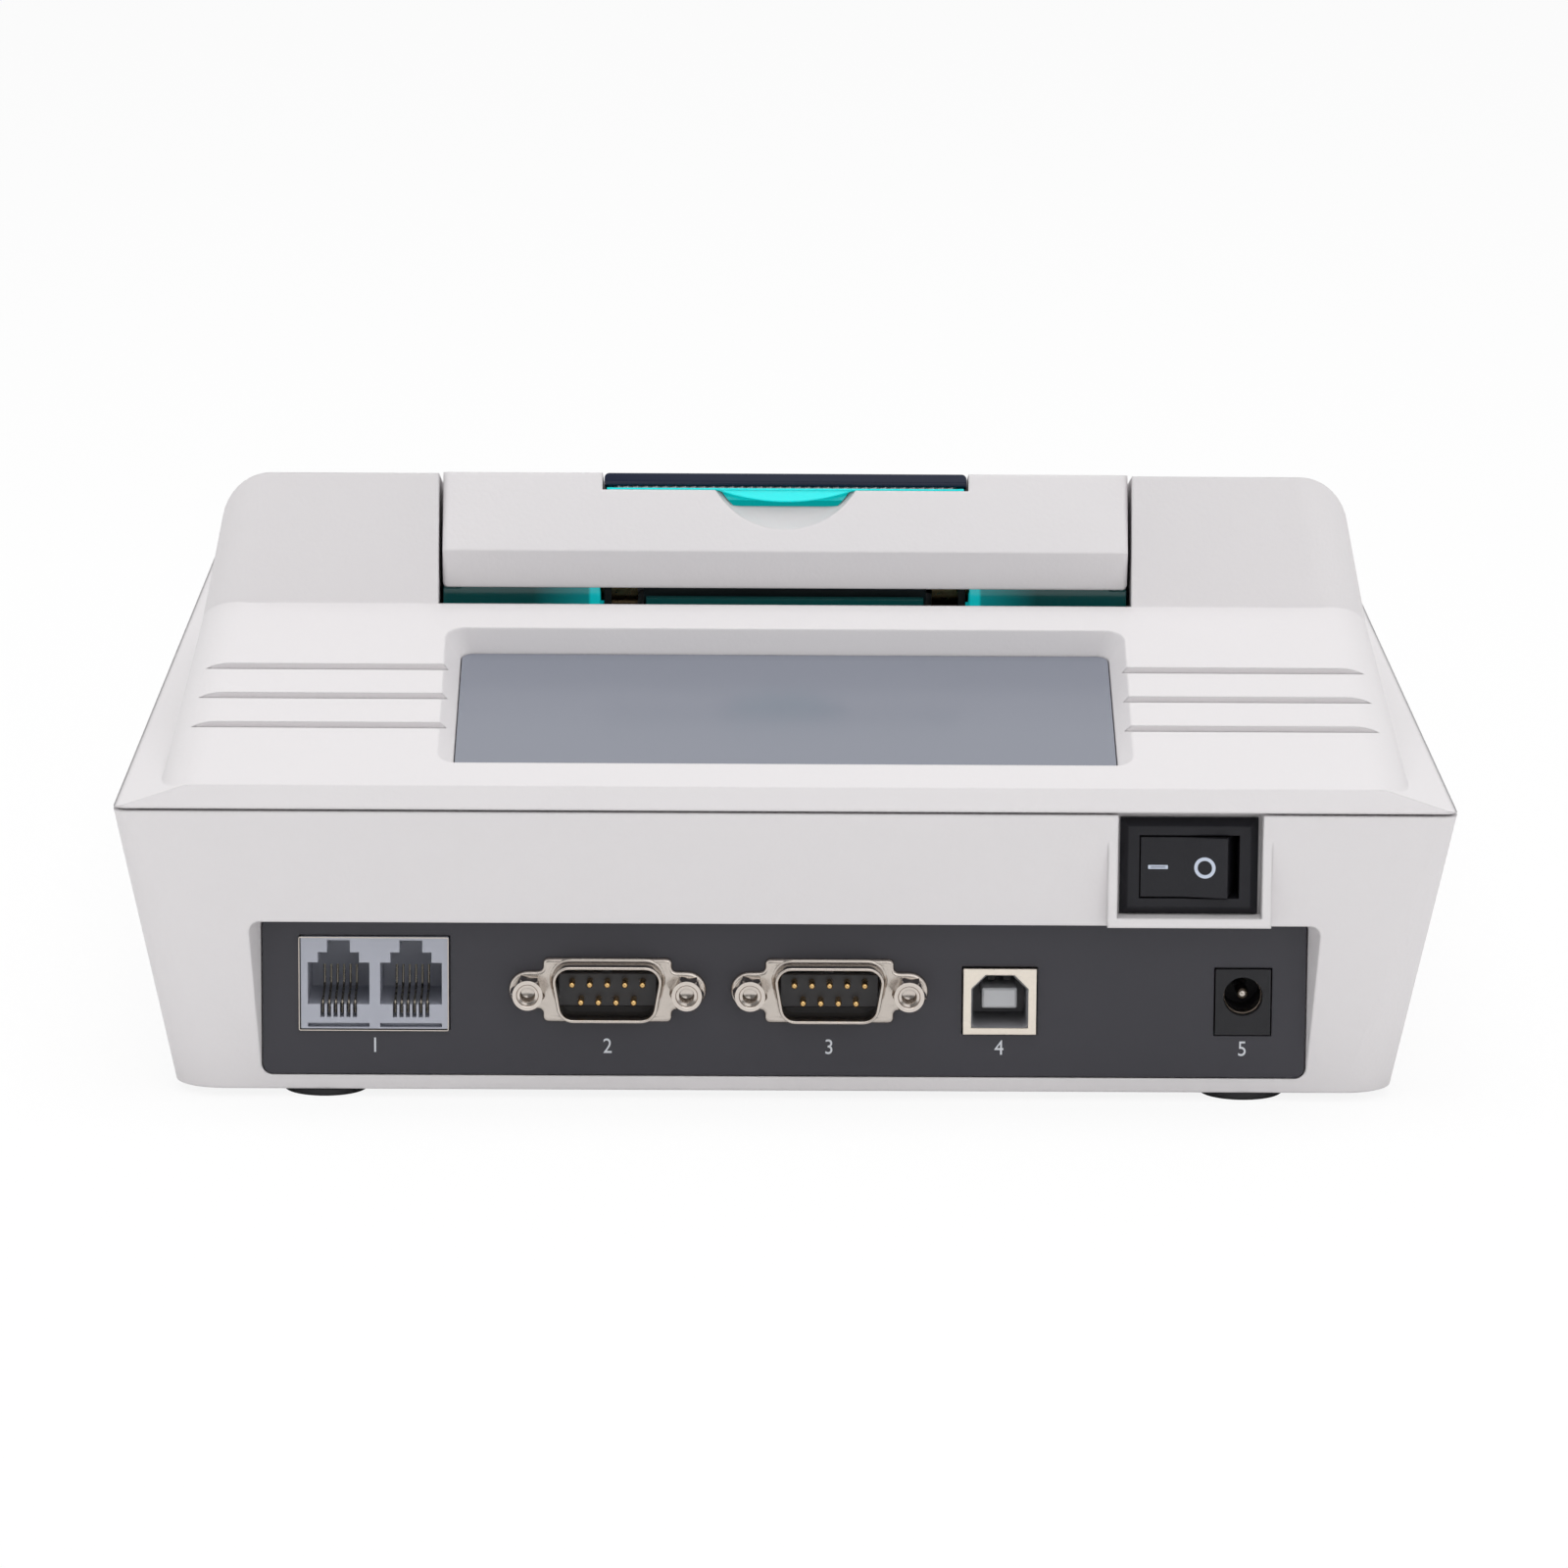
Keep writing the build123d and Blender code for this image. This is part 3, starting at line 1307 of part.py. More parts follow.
# ============================================================ ticket printer
def gear_outline(centre, teeth, phase):
    """Involute gear outline in the YZ plane, with one tooth's middle at angle phase."""
    pitch_r = gear_module * teeth / 2
    base_r = pitch_r * cos(radians(20))
    root_r = pitch_r - 1.25 * gear_module
    tip_r = pitch_r + 0.85 * gear_module
    start_r = max(base_r, root_r)

    def involute(r):
        return sqrt(max((r / base_r) ** 2 - 1, 0)) - acos(min(base_r / r, 1))

    half_pitch = pi / (2 * teeth) - gear_backlash / (2 * pitch_r)
    radii = [start_r + (tip_r - start_r) * step / 4 for step in range(5)]
    flank = [(r, half_pitch + involute(pitch_r) - involute(r)) for r in radii]
    flank = [(root_r - 0.02, flank[0][1] + 0.02)] + flank
    corners = []
    for tooth in range(teeth):
        middle = phase + 2 * pi * tooth / teeth
        for r, half in flank:
            corners.append((r, middle - half))
        for r, half in reversed(flank):
            corners.append((r, middle + half))
    with BuildSketch(Plane.YZ.offset(gear_x)) as outline:
        with BuildLine():
            Polyline(*[(r * cos(a), r * sin(a)) for r, a in corners], close=True)
        make_face()
    return outline.sketch.moved(Location((0, centre[0], centre[1])))


platen_at = (ahead(platen_f), platen_z)
motor_at = (ahead(motor_f), motor_z)
line_y = motor_at[0] - platen_at[0]
line_z = motor_at[1] - platen_at[1]
between = hypot(line_y, line_z)
along = (idler_reach**2 - pinion_reach**2 + between**2) / (2 * between)
across = sqrt(idler_reach**2 - along**2)
idler_at = (
    platen_at[0] + (along * line_y + across * line_z) / between,
    platen_at[1] + (along * line_z - across * line_y) / between,
)
# each gear has a gap where its neighbour has a tooth
to_idler = atan2(idler_at[1] - platen_at[1], idler_at[0] - platen_at[0])
to_motor = atan2(motor_at[1] - idler_at[1], motor_at[0] - idler_at[0])
platen_phase = to_idler
idler_phase = to_idler + pi + pi / idler_teeth
idler_share = ((to_motor - idler_phase) * idler_teeth / (2 * pi)) % 1
pinion_phase = to_motor + pi - (0.5 - idler_share) * 2 * pi / pinion_teeth

shaft_radius = 1.5
bush_radius = 3.0
bush_flange_radius = 3.8
bush_in = 24.0              # inner end of the bushings
stud_radius = 1.25
frame_low_z = tub_shallow_z + tub_wall
frame_sheet = 1.2
ear_top_z = platen_z + 4.0

with BuildPart() as printer_frame:
    block(
        Plane.XY,
        (-ear_inner - ear_thick, ahead(printer_front_f), frame_low_z),
        (ear_inner + ear_thick, ahead(printer_rear_f), frame_low_z + frame_sheet),
    )
    block(
        Plane.XY,
        (-ear_inner - ear_thick, ahead(printer_front_f), frame_low_z),
        (ear_inner + ear_thick, ahead(printer_front_f - frame_sheet), ear_top_z - 1),
    )
    for hand in (-1, 1):
        ends = sorted((hand * ear_inner, hand * (ear_inner + ear_thick)))
        block(
            Plane.XY,
            (ends[0], ahead(printer_front_f), frame_low_z),
            (ends[1], ahead(printer_rear_f), ear_top_z),
        )
        rod(Plane.YZ, platen_at, bush_radius, ends[0] - 1, ends[1] + 1, Mode.SUBTRACT)
    # hole for the motor's boss and stud for the idler gear
    rod(Plane.YZ, motor_at, 2.6, ear_inner - 1, ear_inner + 2, Mode.SUBTRACT)
    rod(Plane.YZ, idler_at, 2.2, ear_inner + ear_thick, gear_x - 0.2)
    rod(Plane.YZ, idler_at, stud_radius, gear_x - 0.2, gear_x + gear_face_width + 0.6)
save(printer_frame, "printer_frame")

with BuildPart() as platen_bushings:
    for hand in (-1, 1):
        for radius, near, far in (
            (bush_flange_radius, bush_in, ear_inner),
            (bush_radius, ear_inner, ear_inner + ear_thick + 0.6),
        ):
            ends = sorted((hand * near, hand * far))
            rod(Plane.YZ, platen_at, radius, ends[0], ends[1])
        ends = sorted((hand * (bush_in - 1), hand * (ear_inner + ear_thick + 2)))
        rod(Plane.YZ, platen_at, shaft_radius + running, ends[0], ends[1], Mode.SUBTRACT)
save(platen_bushings, "platen_bushings")

with BuildPart() as platen_shaft:
    rod(Plane.YZ, platen_at, shaft_radius, -ear_inner - ear_thick - 1.4, gear_x + gear_face_width + 1)
save(platen_shaft, "platen_shaft")

with BuildPart() as platen_roller:
    rod(Plane.YZ, platen_at, platen_radius, -platen_half, platen_half)
    rod(Plane.YZ, platen_at, shaft_radius, -platen_half, platen_half, Mode.SUBTRACT)
save(platen_roller, "platen_roller")

with BuildPart() as platen_gear:
    extrude(gear_outline(platen_at, platen_teeth, platen_phase), amount=gear_face_width)
    rod(Plane.YZ, platen_at, shaft_radius, gear_x - 1, gear_x + gear_face_width + 1, Mode.SUBTRACT)
save(platen_gear, "platen_gear")

with BuildPart() as idler_gear:
    extrude(gear_outline(idler_at, idler_teeth, idler_phase), amount=gear_face_width)
    rod(
        Plane.YZ, idler_at, stud_radius + running, gear_x - 1, gear_x + gear_face_width + 1, Mode.SUBTRACT
    )
save(idler_gear, "idler_gear")

motor_back_x = 8.0
rotor_back_x = 18.0
with BuildPart() as feed_motor:
    rod(Plane.YZ, motor_at, motor_radius, motor_back_x, ear_inner)
    rod(Plane.YZ, motor_at, 2.6, ear_inner, ear_inner + ear_thick + 0.6)
    rod(
        Plane.YZ,
        motor_at,
        motor_shaft_radius + running,
        rotor_back_x,
        ear_inner + ear_thick + 2,
        Mode.SUBTRACT,
    )
save(feed_motor, "feed_motor")

with BuildPart() as motor_pinion:
    extrude(gear_outline(motor_at, pinion_teeth, pinion_phase), amount=gear_face_width)
    rod(Plane.YZ, motor_at, motor_shaft_radius, rotor_back_x + 0.5, gear_x + gear_face_width + 0.6)
save(motor_pinion, "motor_pinion")

head_rear_f = platen_f + platen_radius + 0.1
head_front_f = head_rear_f + 2.4
with BuildPart() as print_head:
    block(
        Plane.XY,
        (-platen_half - 3, ahead(head_front_f), platen_z - 7),
        (platen_half + 3, ahead(head_rear_f + 0.8), platen_z + 6),
    )
    block(
        Plane.XY,
        (-platen_half, ahead(head_rear_f + 0.8), platen_z - 4),
        (platen_half, ahead(head_rear_f), platen_z + 4),
    )
save(print_head, "print_head")

spring_front_f = printer_front_f - frame_sheet
with BuildPart() as head_springs:
    # bowed leaf springs between the frame's front plate and the head
    gap = spring_front_f - head_front_f
    for x in (-13, 13):
        with BuildSketch(Plane.YZ.offset(x - 3)) as leaf:
            with BuildLine():
                ThreePointArc(
                    (ahead(spring_front_f), platen_z - 8),
                    (ahead(head_front_f), platen_z - 2),
                    (ahead(spring_front_f), platen_z + 4),
                )
                Line((ahead(spring_front_f), platen_z + 4), (ahead(spring_front_f), platen_z + 3.4))
                ThreePointArc(
                    (ahead(spring_front_f), platen_z + 3.4),
                    (ahead(head_front_f + 0.4), platen_z - 2),
                    (ahead(spring_front_f), platen_z - 7.4),
                )
                Line((ahead(spring_front_f), platen_z - 7.4), (ahead(spring_front_f), platen_z - 8))
            make_face()
        extrude(leaf.sketch, amount=6)
save(head_springs, "head_springs")

# ============================================================ keypad
with BuildPart() as keypad_board:
    block(
        keypad_plane,
        (-keyboard_half_x, keypad_middle_y - keyboard_half_y, mat_top - mat_thick - keyboard_thick),
        (keyboard_half_x, keypad_middle_y + keyboard_half_y, mat_top - mat_thick),
    )
save(keypad_board, "keypad_board")

with BuildPart() as keypad_membrane:
    block(
        keypad_plane,
        (-mat_half_x, keypad_middle_y - keyboard_half_y, mat_top - mat_thick),
        (mat_half_x, keypad_middle_y + keyboard_half_y, mat_top),
    )
    for name, x, y in key_places():
        rod(keypad_plane, (x, y), 4.5, mat_top, mat_top + dome_high)
save(keypad_membrane, "keypad_membrane")

for name, x, y in key_places():
    with BuildPart() as key:
        flange_top = -wall - 0.3
        with BuildSketch(keypad_plane.offset(flange_top - key_flange_thick)) as flange:
            with Locations((x, y)):
                RectangleRounded(key_width + 2 * key_flange, key_length + 2 * key_flange, 2.0)
        extrude(flange.sketch, amount=key_flange_thick)
        with BuildSketch(keypad_plane.offset(flange_top)) as cap:
            with Locations((x, y)):
                RectangleRounded(key_width, key_length, 2.0)
        extrude(cap.sketch, amount=key_proud - flange_top)
        fillet(key.faces().sort_by(Axis(keypad_plane.origin, keypad_plane.z_dir))[-1].edges(), 0.8)
    save(key, name)
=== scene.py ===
from math import cos, pi, radians, sin

import bmesh
import bpy
import numpy as np
from mathutils import Matrix, Vector


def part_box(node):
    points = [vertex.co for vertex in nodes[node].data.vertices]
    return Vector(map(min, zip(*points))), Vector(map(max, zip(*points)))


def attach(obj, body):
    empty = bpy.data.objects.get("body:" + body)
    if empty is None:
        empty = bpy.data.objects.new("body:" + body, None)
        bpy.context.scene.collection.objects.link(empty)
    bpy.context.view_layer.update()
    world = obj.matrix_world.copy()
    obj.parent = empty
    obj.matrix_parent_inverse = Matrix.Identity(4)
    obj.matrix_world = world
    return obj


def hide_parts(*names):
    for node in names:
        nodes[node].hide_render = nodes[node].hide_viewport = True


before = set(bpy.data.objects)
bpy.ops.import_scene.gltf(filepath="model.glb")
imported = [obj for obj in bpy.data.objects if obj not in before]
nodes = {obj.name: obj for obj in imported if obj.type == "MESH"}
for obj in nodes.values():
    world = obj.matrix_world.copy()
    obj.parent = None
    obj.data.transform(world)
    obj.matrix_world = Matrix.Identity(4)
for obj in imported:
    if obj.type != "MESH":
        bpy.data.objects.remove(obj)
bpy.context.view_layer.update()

# ============================================================ case and cover
# The base, the cover and the printer's hood are moulded in one off-white, rigid plastic.
# The tool is spark-eroded, so every outer face has a fine, soft texture, and each outer
# edge is broken by a small radius where it catches the light.


def moulded(name, colour, rough, grain=0.0, depth=0.0, edge=0.0, mottle=0.03):
    """Plastic from a textured tool. Height is fine noise of size grain times depth; colour and
    gloss drift by a slow noise of a few centimetres; edges are rounded by edge.
    """
    material = bpy.data.materials.new(name)
    material.use_nodes = True
    tree = material.node_tree
    shader = tree.nodes["Principled BSDF"]
    place = tree.nodes.new("ShaderNodeTexCoord")
    drift = tree.nodes.new("ShaderNodeTexNoise")
    drift.inputs["Scale"].default_value = 45.0
    drift.inputs["Detail"].default_value = 3.0
    tree.links.new(place.outputs["Object"], drift.inputs["Vector"])
    tint = tree.nodes.new("ShaderNodeMix")
    tint.data_type = "RGBA"
    tint.inputs["A"].default_value = [c * (1 - mottle) for c in colour] + [1]
    tint.inputs["B"].default_value = [min(c * (1 + mottle), 1) for c in colour] + [1]
    tree.links.new(drift.outputs["Fac"], tint.inputs["Factor"])
    tree.links.new(tint.outputs["Result"], shader.inputs["Base Color"])
    gloss = tree.nodes.new("ShaderNodeMapRange")
    gloss.inputs["To Min"].default_value = rough - 0.05
    gloss.inputs["To Max"].default_value = rough + 0.05
    tree.links.new(drift.outputs["Fac"], gloss.inputs["Value"])
    tree.links.new(gloss.outputs["Result"], shader.inputs["Roughness"])
    last = None
    if edge:
        rounding = tree.nodes.new("ShaderNodeBevel")
        rounding.samples = 6
        rounding.inputs["Radius"].default_value = edge
        last = rounding.outputs["Normal"]
    if depth:
        texture = tree.nodes.new("ShaderNodeTexNoise")
        texture.inputs["Scale"].default_value = 1 / grain
        texture.inputs["Detail"].default_value = 2.0
        tree.links.new(place.outputs["Object"], texture.inputs["Vector"])
        relief = tree.nodes.new("ShaderNodeBump")
        relief.inputs["Distance"].default_value = depth
        relief.inputs["Strength"].default_value = 0.6
        tree.links.new(texture.outputs["Fac"], relief.inputs["Height"])
        if last:
            tree.links.new(last, relief.inputs["Normal"])
        last = relief.outputs["Normal"]
    if last:
        tree.links.new(last, shader.inputs["Normal"])
    return material


def dress(material, *names):
    """Gives CAD nodes a material in place of their plain one."""
    for name in names:
        mesh = nodes[name].data
        mesh.materials.clear()
        mesh.materials.append(material)


case_white = moulded("case_white", (0.732, 0.71, 0.72), 0.5, 0.0007, 0.00006, 0.0006, 0.012)
dress(case_white, "base_shell", "top_shell", "hood")

# ============================================================ rubber feet
# Four round feet of dark rubber sit in shallow seats under the floor, close to its corners.
# They are pressed in and carry the moulding tool's dull surface.
foot_rubber = moulded("foot_rubber", (0.02, 0.02, 0.022), 0.75, 0.0009, 0.00008, 0.0004, 0.1)
dress(foot_rubber, "feet")

# ============================================================ case screws
# Four steel screws in deep holes under the floor hold the cover down. Each has a domed
# pan head with a cross recess, and a rolled thread that is hidden in the case.


def metal(name, colour, rough, edge=0.0, streak=(1, 1, 1), wear=0.12, scale=900.0):
    """Metal with fine marks. Roughness rises with a fine noise that is stretched by streak along
    the way the metal was worked.
    """
    material = bpy.data.materials.new(name)
    material.use_nodes = True
    tree = material.node_tree
    shader = tree.nodes["Principled BSDF"]
    shader.inputs["Metallic"].default_value = 1.0
    place = tree.nodes.new("ShaderNodeTexCoord")
    stretch = tree.nodes.new("ShaderNodeMapping")
    stretch.inputs["Scale"].default_value = streak
    marks = tree.nodes.new("ShaderNodeTexNoise")
    marks.inputs["Scale"].default_value = scale
    marks.inputs["Detail"].default_value = 3.0
    tree.links.new(place.outputs["Object"], stretch.inputs["Vector"])
    tree.links.new(stretch.outputs["Vector"], marks.inputs["Vector"])
    tone = tree.nodes.new("ShaderNodeMix")
    tone.data_type = "RGBA"
    tone.inputs["A"].default_value = [c * (1 - wear) for c in colour] + [1]
    tone.inputs["B"].default_value = [min(c * (1 + wear), 1) for c in colour] + [1]
    tree.links.new(marks.outputs["Fac"], tone.inputs["Factor"])
    tree.links.new(tone.outputs["Result"], shader.inputs["Base Color"])
    gloss = tree.nodes.new("ShaderNodeMapRange")
    gloss.inputs["To Min"].default_value = max(rough - wear, 0.05)
    gloss.inputs["To Max"].default_value = rough + wear
    tree.links.new(marks.outputs["Fac"], gloss.inputs["Value"])
    tree.links.new(gloss.outputs["Result"], shader.inputs["Roughness"])
    if edge:
        rounding = tree.nodes.new("ShaderNodeBevel")
        rounding.samples = 6
        rounding.inputs["Radius"].default_value = edge
        tree.links.new(rounding.outputs["Normal"], shader.inputs["Normal"])
    return material


def skin(name, grids, materials, body, smooth=radians(35)):
    """One mesh from closed point grids. Rows follow a profile and columns go round; each column
    joins the next and the last joins the first. A grid is a ring if its last row meets its
    first, and otherwise ends in a point at both ends, where doubles are merged. grids holds
    pairs of a grid and its material's place in materials.
    """
    points, quads, kinds, start = [], [], [], 0
    for grid, kind in grids:
        rows, columns = grid.shape[:2]
        index = start + np.arange(rows * columns).reshape(rows, columns)
        index = np.concatenate((index, index[:, :1]), 1)
        faces = np.stack((index[:-1, :-1], index[1:, :-1], index[1:, 1:], index[:-1, 1:]), -1)
        points.append(grid.reshape(-1, 3))
        quads.append(faces.reshape(-1, 4))
        kinds.append(np.full(len(quads[-1]), kind))
        start += rows * columns
    mesh = bpy.data.meshes.new(name)
    mesh.from_pydata(np.concatenate(points), [], np.concatenate(quads).tolist())
    mesh.polygons.foreach_set("material_index", np.concatenate(kinds).astype(np.int32))
    form = bmesh.new()
    form.from_mesh(mesh)
    bmesh.ops.remove_doubles(form, verts=form.verts, dist=2e-7)
    bmesh.ops.recalc_face_normals(form, faces=form.faces)
    form.to_mesh(mesh)
    form.free()
    for material in materials:
        mesh.materials.append(material)
    mesh.shade_smooth()
    mesh.set_sharp_from_angle(angle=smooth)
    piece = bpy.data.objects.new(name, mesh)
    bpy.context.scene.collection.objects.link(piece)
    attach(piece, body)
    return piece


def turned(profile, centre, axis, count=48, shape=None):
    """Surface of revolution. A profile of (radius, height) rows is carried round the axis through
    centre; shape, if given, changes the radius and height by angle.
    """
    profile = np.asarray(profile, float)
    angle = np.arange(count) / count * 2 * pi
    radius = np.repeat(profile[:, :1], count, 1)
    height = np.repeat(profile[:, 1:], count, 1)
    if shape:
        radius, height = shape(radius, height, angle[None, :])
    third = np.asarray(axis, float)
    first = np.cross(third, (0.36, 0.48, 0.8))
    first /= np.linalg.norm(first)
    second = np.cross(third, first)
    around = np.cos(angle)[None, :, None] * first + np.sin(angle)[None, :, None] * second
    return np.asarray(centre) + radius[..., None] * around + height[..., None] * third


def cross_recess(radius, height, angle):
    """Sinks the head's top where a point lies inside one of two crossed bars that narrow with
    depth.
    """
    across = np.minimum(abs(np.cos(angle)), abs(np.sin(angle))) * radius
    inside = (across < 0.00045) & (radius < 0.0017) & (height > 0.0015)
    return radius, np.where(inside, height - 0.0011 * (1 - radius / 0.0022), height)


screw_steel = metal("screw_steel", (0.5, 0.5, 0.51), 0.3, 0.0001)
low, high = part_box("case_screws")
head_radius = 0.0028
head_x = (high.x - low.x) / 2 - head_radius
head_y = (high.y - low.y) / 2 - head_radius
head_top = low.z
rise = np.linspace(0, 1, 9)
dome = np.stack((head_radius * rise, 0.002 - 0.0006 * rise**2), 1)
thread_z = np.linspace(0, high.z - low.z - 0.004, 160)
thread = np.stack((0.00138 + 0.00012 * np.sin(thread_z / 0.0011 * 2 * pi), -thread_z - 0.0002), 1)
screw_profile = np.concatenate((
    dome, [[head_radius, 0.0], [0.0014, 0.0]], thread,
    [[0.0006, -high.z + low.z + 0.0025], [0, -high.z + low.z + 0.0022]],
))
screw_grids = [
    (turned(screw_profile, (x, y, head_top + 0.002), (0, 0, -1), 48, cross_recess), 0)
    for x in (-head_x, head_x)
    for y in (-head_y, head_y)
]
case_screw_set = skin("case_screw_set", screw_grids, [screw_steel], "case")
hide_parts("case_screws")

# ============================================================ port plate and main board
# The plate is a separate dark grey moulding set back in the rear wall. Each port in it has
# a plain number. The board behind it is green glass-fibre with the ports soldered to it.
plate_grey = moulded("plate_grey", (0.033, 0.032, 0.041), 0.5, 0.0005, 0.00003, 0.0003, 0.03)
dress(plate_grey, "port_plate")
board_green = moulded("board_green", (0.02, 0.11, 0.06), 0.4, 0.0004, 0.00002, 0.0, 0.15)
dress(board_green, "main_board", "keypad_board")
mark_ink = moulded("mark_ink", (0.62, 0.64, 0.68), 0.55, mottle=0.02)
plate_face_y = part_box("port_plate")[1].y
ink_thick = 0.00004


def printed(name, text, size, origin, across, up, material, body, squeeze=1.0):
    """Characters printed on a flat face: a flat curve made a mesh, then set in the face's own
    axes, its middle at origin.
    """
    curve = bpy.data.curves.new(name, "FONT")
    curve.body = text
    curve.size = size
    curve.align_x = "CENTER"
    curve.align_y = "CENTER"
    curve.extrude = ink_thick
    text_object = bpy.data.objects.new(name + "_curve", curve)
    bpy.context.scene.collection.objects.link(text_object)
    bpy.context.view_layer.update()
    mesh = bpy.data.meshes.new_from_object(text_object)
    bpy.data.objects.remove(text_object)
    mesh.name = name
    right = Vector(across).normalized()
    rise = Vector(up).normalized()
    turn = Matrix((right * squeeze, rise, right.cross(rise))).transposed().to_4x4()
    mesh.transform(Matrix.Translation(Vector(origin)) @ turn)
    piece = bpy.data.objects.new(name, mesh)
    bpy.context.scene.collection.objects.link(piece)
    mesh.materials.append(material)
    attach(piece, body)
    return piece


port_marks = (("1", 0.0645), ("2", 0.02785), ("3", -0.0071), ("4", -0.03395), ("5", -0.0723))
for number, x in port_marks:
    mark = printed(
        "port_mark_" + number, number, 0.0034, (x, plate_face_y, 0.0085),
        (-1, 0, 0), (0, 0, 1), mark_ink, "case", 0.9,
    )

# ============================================================ cash drawer sockets
# One light blue-grey moulding with two modular sockets side by side, six sprung wires in
# each. A thin nickel-plated shield wraps it and shows at its left end and along its foot.
jack_grey = moulded("jack_grey", (0.41, 0.425, 0.485), 0.42, 0.0006, 0.00002, 0.0002, 0.04)
dress(jack_grey, "cash_jack_block")
contact_steel = metal("contact_steel", (0.30, 0.27, 0.22), 0.28, wear=0.1)


def outline(corners, radii, inset=0.0, steps=8):
    """Closed outline with rounded corners, pulled in by inset. Each corner moves along its
    bisector, and its arc turns from the side that comes in to the side that goes out.
    """
    corners = np.asarray(corners, float)
    ahead = np.roll(corners, -1, 0) - corners
    ahead /= np.linalg.norm(ahead, axis=1, keepdims=True)
    behind = np.roll(ahead, 1, 0)
    left_ahead = np.stack((-ahead[:, 1], ahead[:, 0]), 1)
    left_behind = np.stack((-behind[:, 1], behind[:, 0]), 1)
    turn = np.arctan2((left_behind * ahead).sum(1), (behind * ahead).sum(1))
    moved = corners + inset * (left_behind + left_ahead) / (1 + (behind * ahead).sum(1))[:, None]
    radius = np.maximum(np.broadcast_to(radii, turn.shape) - np.sign(turn) * inset, 1e-5)
    first = moved - behind * (radius * np.tan(abs(turn) / 2))[:, None]
    angle = abs(turn)[:, None, None] * np.linspace(0, 1, steps)[None, :, None]
    inward = left_behind * np.sign(turn)[:, None]
    arc = behind[:, None] * np.sin(angle) + inward[:, None] * (1 - np.cos(angle))
    return (first[:, None] + radius[:, None, None] * arc).reshape(-1, 2)


def spread(loop, count=360):
    """The loop resampled at even angles about its middle, so that loops of different form can be
    joined.
    """
    dense = np.linspace(loop, np.roll(loop, -1, 0), 24, endpoint=False, axis=1).reshape(-1, 2)
    angle = np.arctan2(dense[:, 1], dense[:, 0])
    order = np.argsort(angle)
    even = (np.arange(count) + 0.5) / count * 2 * pi - pi
    radius = np.interp(even, angle[order], np.hypot(*dense.T)[order], period=2 * pi)
    return np.stack((radius * np.cos(even), radius * np.sin(even)), 1)


def stacked(levels, x, z):
    """Rows for skin from pairs of an (x, z) loop and its y, set at x and z in the rear wall."""
    return np.stack(
        [np.stack((loop[:, 0] + x, np.full(len(loop), y), loop[:, 1] + z), 1) for loop, y in levels]
    )


def box_corners(half_x, half_z):
    """Corners of an upright rectangle, anticlockwise."""
    return [(-half_x, -half_z), (half_x, -half_z), (half_x, half_z), (-half_x, half_z)]


nickel = metal("nickel", (0.55, 0.50, 0.455), 0.22, wear=0.1, scale=2600.0)
low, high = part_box("cash_jack_block")
jack_x, jack_z = (low.x + high.x) / 2, 0.0187
jack_half_x, jack_half_z = (high.x - low.x) / 2, 0.0074
shield_thick = 0.00016
shield_inner = outline(box_corners(jack_half_x, jack_half_z), 0.0001)
shield_outer = outline(box_corners(jack_half_x + shield_thick, jack_half_z + shield_thick), 0.0003)
shield_levels = [
    (shield_outer, high.y - 0.012), (shield_outer, high.y + 0.0001), (shield_inner, high.y + 0.0001),
    (shield_inner, high.y - 0.012), (shield_outer, high.y - 0.012),
]
jack_shield = skin(
    "jack_shield", [(stacked(shield_levels, jack_x + 0.00018, jack_z - 0.00018), 0)], [nickel],
    "case"
)

# each wire rises over the sill, runs back above the socket's floor and bends up at its end
bends = np.array([
    (-0.0009, -0.0016), (-0.00115, 0.00015), (-0.0017, 0.0005),
    (-0.0055, 0.0012), (-0.0068, 0.0018), (-0.0073, 0.0048),
])
share = np.linspace(0, 1, 40)
reached = np.concatenate(([0], np.cumsum(np.linalg.norm(np.diff(bends, axis=0), axis=1))))
run = np.stack([np.interp(share * reached[-1], reached, bends[:, k]) for k in (0, 1)], 1)
smooth_run = np.concatenate((run[:1], (run[:-2] + 2 * run[1:-1] + run[2:]) / 4, run[-1:]))
along = np.gradient(smooth_run, axis=0)
along /= np.linalg.norm(along, axis=1, keepdims=True)
turn_angle = np.arange(12) / 12 * 2 * pi
wire_radius = np.concatenate(([0], np.full(40, 0.0002), [0]))[:, None]
wire_run = np.concatenate((smooth_run[:1], smooth_run, smooth_run[-1:]))
wire_along = np.concatenate((along[:1], along, along[-1:]))
wire_x = wire_radius * np.sin(turn_angle)
wire_y = wire_run[:, :1] - wire_along[:, 1:] * wire_radius * np.cos(turn_angle) + plate_face_y
wire_z = wire_run[:, 1:] + wire_along[:, :1] * wire_radius * np.cos(turn_angle) + 0.01525
jack_middle_x, socket_half_pitch, wire_pitch = 0.0645, 0.0057, 0.00102
wire_grids = [
    (np.stack((
        wire_x + jack_middle_x + side * socket_half_pitch + (place - 2.5) * wire_pitch, wire_y, wire_z,
    ), -1), 0)
    for side in (-1, 1)
    for place in range(6)
]
jack_wires = skin("jack_wires", wire_grids, [contact_steel], "case")
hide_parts("jack_contacts")

